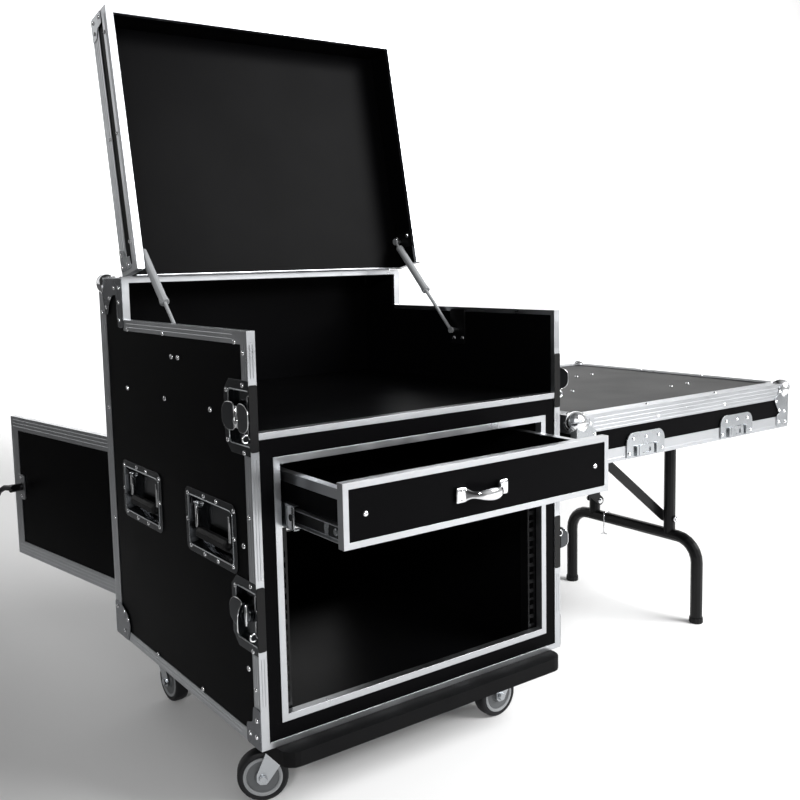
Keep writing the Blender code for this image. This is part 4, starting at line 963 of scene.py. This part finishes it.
def bead_lines():
    mouths = []
    dishes = []
    frames = []
    for side in (-1, 1):
        face = side_face(side)
        for centre in HANDLE_CENTRES:
            mouth = rectangle(centre - 0.0725, centre + 0.0725, HANDLE_Z - 0.0385, HANDLE_Z + 0.0385)
            mouths.append(on_plane(face, round_corners(mouth, 0.008, 3), PROUD))
        for z in LATCHES.values():
            dishes.append(on_plane(face, moved(CUP, FRONT, z), PROUD))
            for low, high in ((-0.029, -0.006), (0.006, 0.029)):
                slot = rectangle(FRONT + 0.003, FRONT + 0.017, z + low, z + high)
                frames.append(on_plane(face, round_corners(slot, 0.003, 2), -0.0068))
    wires("handle_dish_beads", mouths, BEAD, "case", ZINC, closed=True)
    wires("latch_dish_beads", dishes, BEAD, "case", ZINC)
    wires("latch_slot_frames", frames, 0.001, "case", CHROME, closed=True)


bead_lines()

# %% [markdown]
# A small wire eye for a padlock stands square off the side in front of each latch, and
# each dish is folded round the case's front edge as a narrow flange, coated black as a
# painted shade where the front of the latch lies dark.

# %% Padlock eyes and front flanges
EYES = [(-1, 0.277), (-1, 0.548), (1, 0.3125), (1, 0.55)]
EYE = 0.0052


def padlock_eyes():
    rings = []
    for side, z in EYES:
        at = end_face(-1, -0.27, side * (SIDE + 0.0042), z)
        loop = [(EYE * cos(radians(30 * k)), EYE * sin(radians(30 * k))) for k in range(-4, 5)]
        loop = [(-0.0085, -0.005)] + loop + [(-0.0085, 0.005)]
        rings.append(on_plane(at, moved(loop, 0.0, 0.0, side)))
    wires("padlock_eyes", rings, 0.0013, "case", CHROME)


def front_flanges():
    bm = bmesh.new()
    for side in (-1, 1):
        for z in LATCHES.values():
            flange = rectangle(side * (SIDE - 0.0125), side * (SIDE + 0.0002), z - 0.045, z + 0.045)
            plate(bm, round_corners(flange, 0.003, 3), FRONT_FACE, 0.001, SUNK)
    # The flanges' black coat is painted shade.
    piece("latch_front_flanges", bm, "case", BLACK_STEEL, bevel=0.0003)


padlock_eyes()
front_flanges()

# %% [markdown]
# A butterfly latch is a round drum with two finger leaves on pins. Each leaf is a
# tongue of thin sheet whose rim is rolled over. The right latches are left with their
# leaves raised, and on the left only one leaf stands off its dish.

# %% Butterfly latches
HUB_Y = FRONT + 0.034
DRUM = [(0.0112, 0.0), (0.0116, 0.0006), (0.0116, 0.0058), (0.0106, 0.007), (0.0072, 0.0074),
        (0.0066, 0.0064), (0.002, 0.0062)]
KNOB = [(0.0064, 0.0), (0.0064, 0.0022), (0.005, 0.004), (0.0026, 0.005), (0.0008, 0.0053)]
PIN = [(0.0024, 0.0), (0.003, 0.0006), (0.003, 0.0294), (0.0024, 0.03)]
LEAF = round_corners([(-0.019, 0.0), (0.019, 0.0), (0.019, 0.022), (0.011, 0.0335), (-0.011, 0.0335),
                      (-0.019, 0.022)], 0.01, 4)
# How far each latch's back and front leaf are raised, in degrees.
LIFTS = {(-1, "lower"): (3.0, 46.0), (-1, "upper"): (3.0, 4.0), (1, "lower"): (97.0, 42.0),
         (1, "upper"): (92.0, 45.0)}


def butterfly(side, level, lifts):
    label = hand(side) + "_" + level
    body = "latch_wing_" + label
    z = LATCHES[level]
    steel = bmesh.new()
    bright = bmesh.new()
    lathe(steel, DRUM, flank(side, side * (SIDE - 0.0074), HUB_Y, z), 28)
    lathe(bright, KNOB, flank(side, side * (SIDE + 0.0008), HUB_Y, z - 0.006), 20)
    rims = []
    for way, lift in zip((1, -1), lifts):
        y = HUB_Y + way * 0.0042
        up = Vector((side * sin(radians(lift)), way * cos(radians(lift)), 0.0))
        leaf = frame_of((side * (SIDE + 0.0022), y, z), (0, 0, 1), up, Vector((0, 0, 1)).cross(up))
        plate(steel, LEAF, leaf, 0.0014, -0.0007)
        rims.append(on_plane(leaf, LEAF))
        lathe(bright, PIN, Matrix.Translation((side * (SIDE + 0.0008), y, z - 0.015)), 14)
    # The leaves take the chrome with the painted shade.
    wing = piece("butterfly_" + label, steel, body, SHADED_CHROME, bevel=0.0003)
    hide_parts(body)
    piece("butterfly_pins_" + label, bright, body, CHROME, smooth=50.0)
    wires("butterfly_rims_" + label, rims, 0.0007, body, CHROME, closed=True)


for (side, level), lifts in LIFTS.items():
    butterfly(side, level, lifts)

# %% [markdown]
# The bails swing on chromed arms with a rubber grip between them. A coil spring round
# each pivot pulls the bail flat.

# %% Bail arms and springs
BAIL_X = 0.2838
PIVOT_Z = HANDLE_Z + 0.0265
COIL = 0.0046
COIL_PITCH = 0.00209


def bail(side, centre, label):
    body = "handle_bail_" + label
    x = side * BAIL_X
    arms = [[(x, centre + way * 0.059, PIVOT_Z), (x, centre + way * 0.054, PIVOT_Z),
             (x, centre + way * 0.054, HANDLE_Z - 0.01)] for way in (-1, 1)]
    wires("bail_arms_" + label, arms, 0.0034, body, CHROME)
    turns = [k / 10 for k in range(61)]
    coil = [(x + COIL * cos(2 * pi * t), centre + 0.0395 + COIL_PITCH * t, PIVOT_Z + COIL * sin(2 * pi * t))
            for t in turns]
    wires("bail_spring_" + label, [coil], 0.0007, body, ZINC)


for side in (-1, 1):
    for centre, place in zip(HANDLE_CENTRES, ("front", "back")):
        bail(side, centre, hand(side) + "_" + place)

# %% [markdown]
# The brackets of the gas struts are coated black and held by bright screws, two in the
# case and three in the lid.

# %% Strut bracket covers
INNER_WALL = 0.2776
COVER = 0.0032
BRACKETS = {
    "case": (Matrix(), (-0.053, -0.0125, 0.622, 0.6862), [(-0.0232, 0.6325), (-0.0464, 0.633)]),
    "lid": (LID, (-0.061, -0.031, -0.069, -0.0155),
            [(-0.0385, -0.0215), (-0.0535, -0.0215), (-0.0535, -0.056)]),
}
for body, (at, box, heads) in BRACKETS.items():
    bm = bmesh.new()
    spots = []
    for side in (-1, 1):
        face = at @ flank(-side, side * INNER_WALL)
        plate(bm, round_corners(rectangle(*box), 0.006, 4), face, COVER)
        spots += on_face(face, heads, COVER)
    piece("strut_bracket_covers_" + body, bm, body, BLACK_STEEL, bevel=0.0005)
    fasten("strut_bracket_screws_" + body, SCREW, spots, body, 1.1)

# %% [markdown]
# The drawer's pull is one casting: flat screwed feet that flare into thin necks and
# swell into a thick middle. Its sections are laid along the bow and blended.

# %% Drawer pull
PULL_X = -0.015
PULL_Z = 0.4625
PULL_BACK = -0.4187
# Half of the bow: place along it, stand-off, half height and half thickness.
PULL = [(0.0455, 0.0014, 0.0104, 0.0014), (0.044, 0.0018, 0.0106, 0.0018), (0.033, 0.002, 0.0104, 0.002),
        (0.029, 0.004, 0.0082, 0.0028), (0.025, 0.01, 0.0052, 0.0034), (0.0205, 0.016, 0.005, 0.0038),
        (0.014, 0.0205, 0.0066, 0.0044), (0.007, 0.0228, 0.0078, 0.0048), (0.0, 0.0235, 0.0082, 0.005)]


def blend(stations, steps):
    """Catmull-Rom values between stations."""
    made = []
    last = len(stations) - 1
    for i in range(last):
        a, b, c, d = (stations[max(0, min(last, k))] for k in (i - 1, i, i + 1, i + 2))
        for step in range(steps):
            t = step / steps
            made.append([0.5 * (2 * q + (r - p) * t + (2 * p - 5 * q + 4 * r - s) * t * t
                                + (3 * q - p - 3 * r + s) * t ** 3) for p, q, r, s in zip(a, b, c, d)])
    return made + [list(stations[last])]


def squared(angle):
    """A place on a rounded square, whose sides are flatter than a circle's."""
    return [abs(v) ** 0.6 * (1 if v > 0 else -1) for v in (cos(angle), sin(angle))]


def drawer_pull():
    whole = [(-a, o, h, t) for a, o, h, t in PULL] + PULL[-2::-1]
    rows = blend(whole, 3)
    rings = []
    for i, (along, out, high, thick) in enumerate(rows):
        before, after = rows[max(i - 1, 0)], rows[min(i + 1, len(rows) - 1)]
        way = Vector((after[0] - before[0], after[1] - before[1])).normalized()
        normal = Vector((-way.y, way.x))
        ring = []
        for k in range(16):
            c, d = squared(2 * pi * k / 16)
            spot = Vector((along, out)) + normal * thick * c
            ring.append((PULL_X + spot.x, PULL_BACK - spot.y, PULL_Z + high * d))
        rings.append(ring)
    bm = bmesh.new()
    stack(bm, rings)
    made = piece("cast_drawer_pull", bm, "drawer", CHROME, smooth=50.0)
    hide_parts("drawer_pull")


drawer_pull()

# %% [markdown]
# The drawer has one cross-head screw near each end of its face and four small ones in
# the feet of the pull. Three screw heads show in the web of each slide.

# %% Drawer and slide screws
SLIDE_Z = 0.4385
fasten("drawer_screws", SCREW, on_face(end_face(-1, -0.417), row((-0.207, 0.213), 0.4635)), "drawer")
feet = [(PULL_X + way * 0.0385, PULL_Z + dz) for way in (-1, 1) for dz in (-0.006, 0.006)]
fasten("pull_screws", SCREW, on_face(end_face(-1, -0.4224), feet), "drawer", 0.45)
for side in (-1, 1):
    heads = on_face(flank(-side, side * 0.2419), row((-0.285, -0.25, -0.12), SLIDE_Z))
    fasten("slide_screws_" + hand(side), SCREW, heads, "slide_middles", 0.8, ZINC)

# %% [markdown]
# Where the slides come out they show a ball cage, a release lever on a pivot, and a
# bright end plate with a round hole. The cage is a long black plate on the web, which also
# stands for the shade inside the channel, and the hole's dark inside is a black rubber disc,
# a painted shade.

# %% Ball cages and painted shade, levers and end plates
LEVER = [(-0.374, -0.0082), (-0.366, -0.0082), (-0.364, 0.002), (-0.366, 0.0082), (-0.376, 0.0082),
         (-0.374, 0.002)]


def slide_details():
    cage, lever, tip, hole = bmesh.new(), bmesh.new(), bmesh.new(), bmesh.new()
    for side in (-1, 1):
        inner = flank(side, side * 0.2325, 0, SLIDE_Z)
        # Painted shade: this black plate is the ball cage and also the shade inside the channel.
        plate(cage, rectangle(-0.406, -0.07, -0.0086, 0.0086), inner, 0.001)
        plate(lever, round_corners(LEVER, 0.0015, 3), inner, 0.0022, 0.001)
        lathe(lever, [(0.0052, 0.001), (0.0052, 0.0024), (0.004, 0.0032), (0.0012, 0.0032)],
              inner @ Matrix.Translation((-0.39, 0, 0)), 18)
        outer = flank(side, side * 0.2425, 0, SLIDE_Z)
        plate(tip, round_corners(rectangle(-0.3, -0.286, -0.0155, 0.0155), 0.002, 3), outer, 0.0008)
        # Painted shade: a black disc for the dark inside of the end plate's round hole.
        lathe(hole, [(0.0048, 0.0008), (0.0048, 0.0012), (0.0034, 0.0012)],
              outer @ Matrix.Translation((-0.293, 0, 0)), 18)
    piece("slide_ball_cages", cage, "drawer", BLACK_STEEL)
    piece("slide_levers", lever, "drawer", ZINC, bevel=0.0003)
    piece("slide_end_plates", tip, "slide_middles", CHROME, bevel=0.0002)
    piece("slide_end_buffers", hole, "slide_middles", RUBBER)


slide_details()

# %% [markdown]
# The rear door's frame is the same ribbed section as the case's, and two rivets hold
# its turning latch.

# %% Ribs and rivets of the rear door
DOOR_TOP = 0.464
DOOR_LOW = 0.16
door_face = DOOR @ end_face(1, 0.0125)
levels = [level for step in (0.007, 0.014, 0.021) for level in (DOOR_TOP - step, DOOR_LOW + step)]
lines = ribs_along(door_face, levels, 0.012, 0.468) + ribs_up(door_face, (0.015, 0.472), 0.192, 0.432)
wires("door_edge_ribs", lines, RIB, "rear_door", ALUMINIUM)
grip = [(0.444, 0.3325), (0.444, 0.2915)]
fasten("door_latch_rivets", RIVET, on_face(door_face, grip, 0.002), "rear_door", 0.9)

# %% [markdown]
# The casters: a black rubber tread on a grey nylon wheel, with a pale dust ring and a
# boss at the bolt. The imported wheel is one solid, so three turned pieces replace it.

# %% Wheels
# Which side and end of the case, and the heading that the caster has swung to.
TRAILS = {"front_left": (-1, -1, 152.0), "front_right": (1, -1, 180.0),
          "back_left": (-1, 1, -88.0), "back_right": (1, 1, 60.0)}
SWIVEL = (0.223, 0.212)
TRAIL = 0.03
RADIUS = 0.0375
TREAD = mirrored([(0.029, -0.0112), (0.033, -0.012), (0.0362, -0.0104), (RADIUS, -0.007)])
CORE = mirrored([(0.0046, -0.0128), (0.011, -0.0128), (0.0125, -0.01), (0.0235, -0.01), (0.025, -0.0085),
                 (0.0292, -0.0105)])
RING = [(0.0238, 0.009), (0.0285, 0.0095), (0.0288, 0.0117), (0.0262, 0.0122), (0.024, 0.0112)]


def wheel(label, sx, sy, heading):
    spot = Matrix.Translation((sx * SWIVEL[0], sy * SWIVEL[1], 0))
    hub = Matrix.Rotation(radians(heading), 4, "Z") @ Matrix.Translation((TRAIL, 0, RADIUS))
    axle = spot @ hub @ Matrix.Rotation(radians(90), 4, "X")
    body = "caster_wheel_" + label
    tread, core, dust = bmesh.new(), bmesh.new(), bmesh.new()
    closed_ring(tread, TREAD, axle)
    made = piece("tread_" + label, tread, body, TYRE)
    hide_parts("caster_wheel_" + label)
    closed_ring(core, CORE, axle)
    piece("wheel_core_" + label, core, body, WHEEL_GREY)
    for way in (-1, 1):
        closed_ring(dust, [(r, way * h) for r, h in RING], axle)
    piece("wheel_ring_" + label, dust, body, RING_GREY)


for label, (sx, sy, heading) in TRAILS.items():
    wheel(label, sx, sy, heading)

# %% [markdown]
# The leg's braces are bolted to its posts with bright bolts, and a wire hook hangs on
# the crossbar to catch the leg when it is folded.

# %% Leg bolts and hook
LEG_X = 0.8065
LEG_Y = 0.004
BOLT_Z = 0.213
HOOK_X = 0.793
HOOK_Y = 0.0674
outer = [on_face(end_face(way, LEG_Y + way * 0.121, LEG_X, BOLT_Z), [(0, 0)])[0] for way in (-1, 1)]
inner = [on_face(end_face(-way, LEG_Y + way * 0.087, LEG_X, BOLT_Z), [(0, 0)])[0] for way in (-1, 1)]
fasten("leg_bolts", BOLT, outer, "leg", 0.9)
fasten("brace_bolts", BOLT, inner, "leg_braces", 0.9)
shank = [(0.81, 0.191), (HOOK_X + 0.004, 0.1925), (HOOK_X, 0.189), (HOOK_X, 0.144)]
foot = [(HOOK_Y - 0.008, 0.143), (HOOK_Y + 0.001, 0.144), (HOOK_Y + 0.0085, 0.1405)]
hook = [[(x, HOOK_Y, z) for x, z in shank], [(HOOK_X, y, z) for y, z in foot]]
wires("leg_hook", hook, 0.0014, "leg", CHROME)

# %% [markdown]
# The three heads were only patterns to copy, so they leave the scene.

# %% Remove the patterns
for head in (RIVET, SCREW, BOLT):
    bpy.data.objects.remove(head, do_unlink=True)

# %% [markdown]
# A studio sweep: pale floor and wall in one, with a painted shade that makes it greyer on
# the left so that the left side's metal stays dark. The back right and the upper wall glow a
# little, so that what lies behind the case is as white as in the photograph.

# %% The sweep's paper
POOL = (5.2, 5.1, 0.0)  # middle of the bright pool at the back right


def paper_finish():
    made, tree, shader, place = new_finish("matt_white_paper", "#f4f4f4", 0.0, 0.9)
    pool = add(tree, "ShaderNodeVectorMath", {0: place, 1: POOL}, operation="DISTANCE").outputs["Value"]
    apart = add(tree, "ShaderNodeSeparateXYZ", {"Vector": place}).outputs
    fades = []
    for source, near, far, first, last in (
            (pool, 4.6, 6.4, 0.65, 0.0),  # the glow, fading out round the pool
            (apart["Z"], 0.7, 1.6, 0.0, 0.4),  # the glow, growing up the wall
            (apart["X"], -1.3, -0.6, 0.0, 1.0),  # from grey to pale towards the right
            (apart["Z"], 0.7, 1.6, 0.0, 1.0)):  # and up the wall
        fades.append(add(tree, "ShaderNodeMapRange", {"Value": source, "From Min": near, "From Max": far,
                         "To Min": first, "To Max": last}, interpolation_type="SMOOTHSTEP"))
    glow = add(tree, "ShaderNodeMath", {0: fades[0], 1: fades[1]}, operation="ADD")
    pale = add(tree, "ShaderNodeMath", {0: fades[2], 1: fades[3]}, operation="MAXIMUM")
    # Painted shade: the paper's colour is grey on the left, low down.
    tint = add(tree, "ShaderNodeValToRGB", {"Fac": pale}, [(0.0, 0.16), (1.0, 0.9)])
    white = (1.0, 1.0, 1.0, 1.0)
    fill(tree, shader, {"Base Color": tint, "Emission Color": white, "Emission Strength": glow})
    return made


# %% [markdown]
# The sweep itself is one strip of faces, bent up far behind the case, so that no horizon
# shows.

# %% The sweep
def sweep():
    """A floor that curves up into a backdrop."""
    bm = bmesh.new()
    rows = [(-6.0, 0.0), (3.5, 0.0), (4.2, 0.12), (4.8, 0.55), (5.1, 1.3), (5.1, 5.0)]
    lines = [[bm.verts.new((x, y, z)) for y, z in rows] for x in (-18.0, 18.0)]
    for i in range(len(rows) - 1):
        bm.faces.new((lines[0][i], lines[1][i], lines[1][i + 1], lines[0][i + 1]))
    made = placed("studio_sweep", mesh_of("studio_sweep", bm))
    made.data.shade_smooth()
    made.data.materials.append(paper_finish())
    print("staged", made.name)


sweep()

# %% [markdown]
# One large soft lamp stands at the front right, and a small one at the front left puts
# a glint on every rivet. A pale sky fills the shadows: the room is bright in front and
# to the right, and dim behind and to the left, where the metal has to stay dark.

# %% Lamps and sky
def lamp(name, place, target, size, power):
    data = bpy.data.lights.new(name, "AREA")
    data.shape = "DISK"
    data.size = size
    data.energy = power
    made = placed(name, data)
    made.location = MIDDLE @ Vector(place)
    way = (MIDDLE @ Vector(target)) - made.location
    made.rotation_euler = way.to_track_quat("-Z", "Y").to_euler()


lamp("key_lamp", (2.0, -2.4, 2.2), (0.2, 0.0, 0.5), 2.2, 170)
lamp("sparkle_lamp", (-1.9, -2.2, 1.5), (-0.2, 0.0, 0.5), 0.4, 26)
BRIGHT_WAY = (0.62, -0.74, 0.26)  # where the sky is brightest


def pale_sky():
    made = bpy.data.worlds.new("pale_room")
    made.use_nodes = True
    tree = made.node_tree
    way = add(tree, "ShaderNodeTexCoord").outputs["Generated"]
    side = add(tree, "ShaderNodeVectorMath", {0: way, 1: BRIGHT_WAY}, operation="DOT_PRODUCT")
    sky = add(tree, "ShaderNodeValToRGB", {"Fac": side.outputs["Value"]},
              [(0.05, 0.04), (0.45, 0.35), (0.85, 0.7)])
    fill(tree, tree.nodes["Background"], {"Color": sky, "Strength": 1.0})
    bpy.context.scene.world = made


pale_sky()
bpy.context.scene.view_settings.view_transform = "Standard"
print("lamps:", len(bpy.data.lights))

# %% [markdown]
# The camera stands where the photographer's did. Its place, its turn and its lens were
# found from the case's corners in the photograph, whose picture is 800 pixels wide.

# %% Camera
PHOTO = 800
FOCAL = 946.85  # focal length in pixels
OPTICAL_MIDDLE = (364.82, 369.32)
SENSOR = 36.0


def camera():
    yaw, pitch, roll = radians(34.79), radians(6.375), radians(-1.421)
    ahead = Vector((sin(yaw) * cos(pitch), cos(yaw) * cos(pitch), -sin(pitch)))
    level = Vector((cos(yaw), -sin(yaw), 0.0))
    rise = level.cross(ahead)
    right = level * cos(roll) + rise * sin(roll)
    up = rise * cos(roll) - level * sin(roll)
    data = bpy.data.cameras.new("photo_camera")
    data.sensor_width = SENSOR
    data.lens = FOCAL / PHOTO * SENSOR
    data.shift_x = (PHOTO / 2 - OPTICAL_MIDDLE[0]) / PHOTO
    data.shift_y = -(PHOTO / 2 - OPTICAL_MIDDLE[1]) / PHOTO
    made = placed("photo_camera", data)
    turn = Matrix([[v[i] for v in (right, up, -ahead)] for i in range(3)]).to_4x4()
    made.matrix_world = MIDDLE @ Matrix.Translation((-0.8626, -1.3671, 0.7736)) @ turn
    bpy.context.scene.camera = made
    print("lens:", round(data.lens, 2), "mm")


camera()
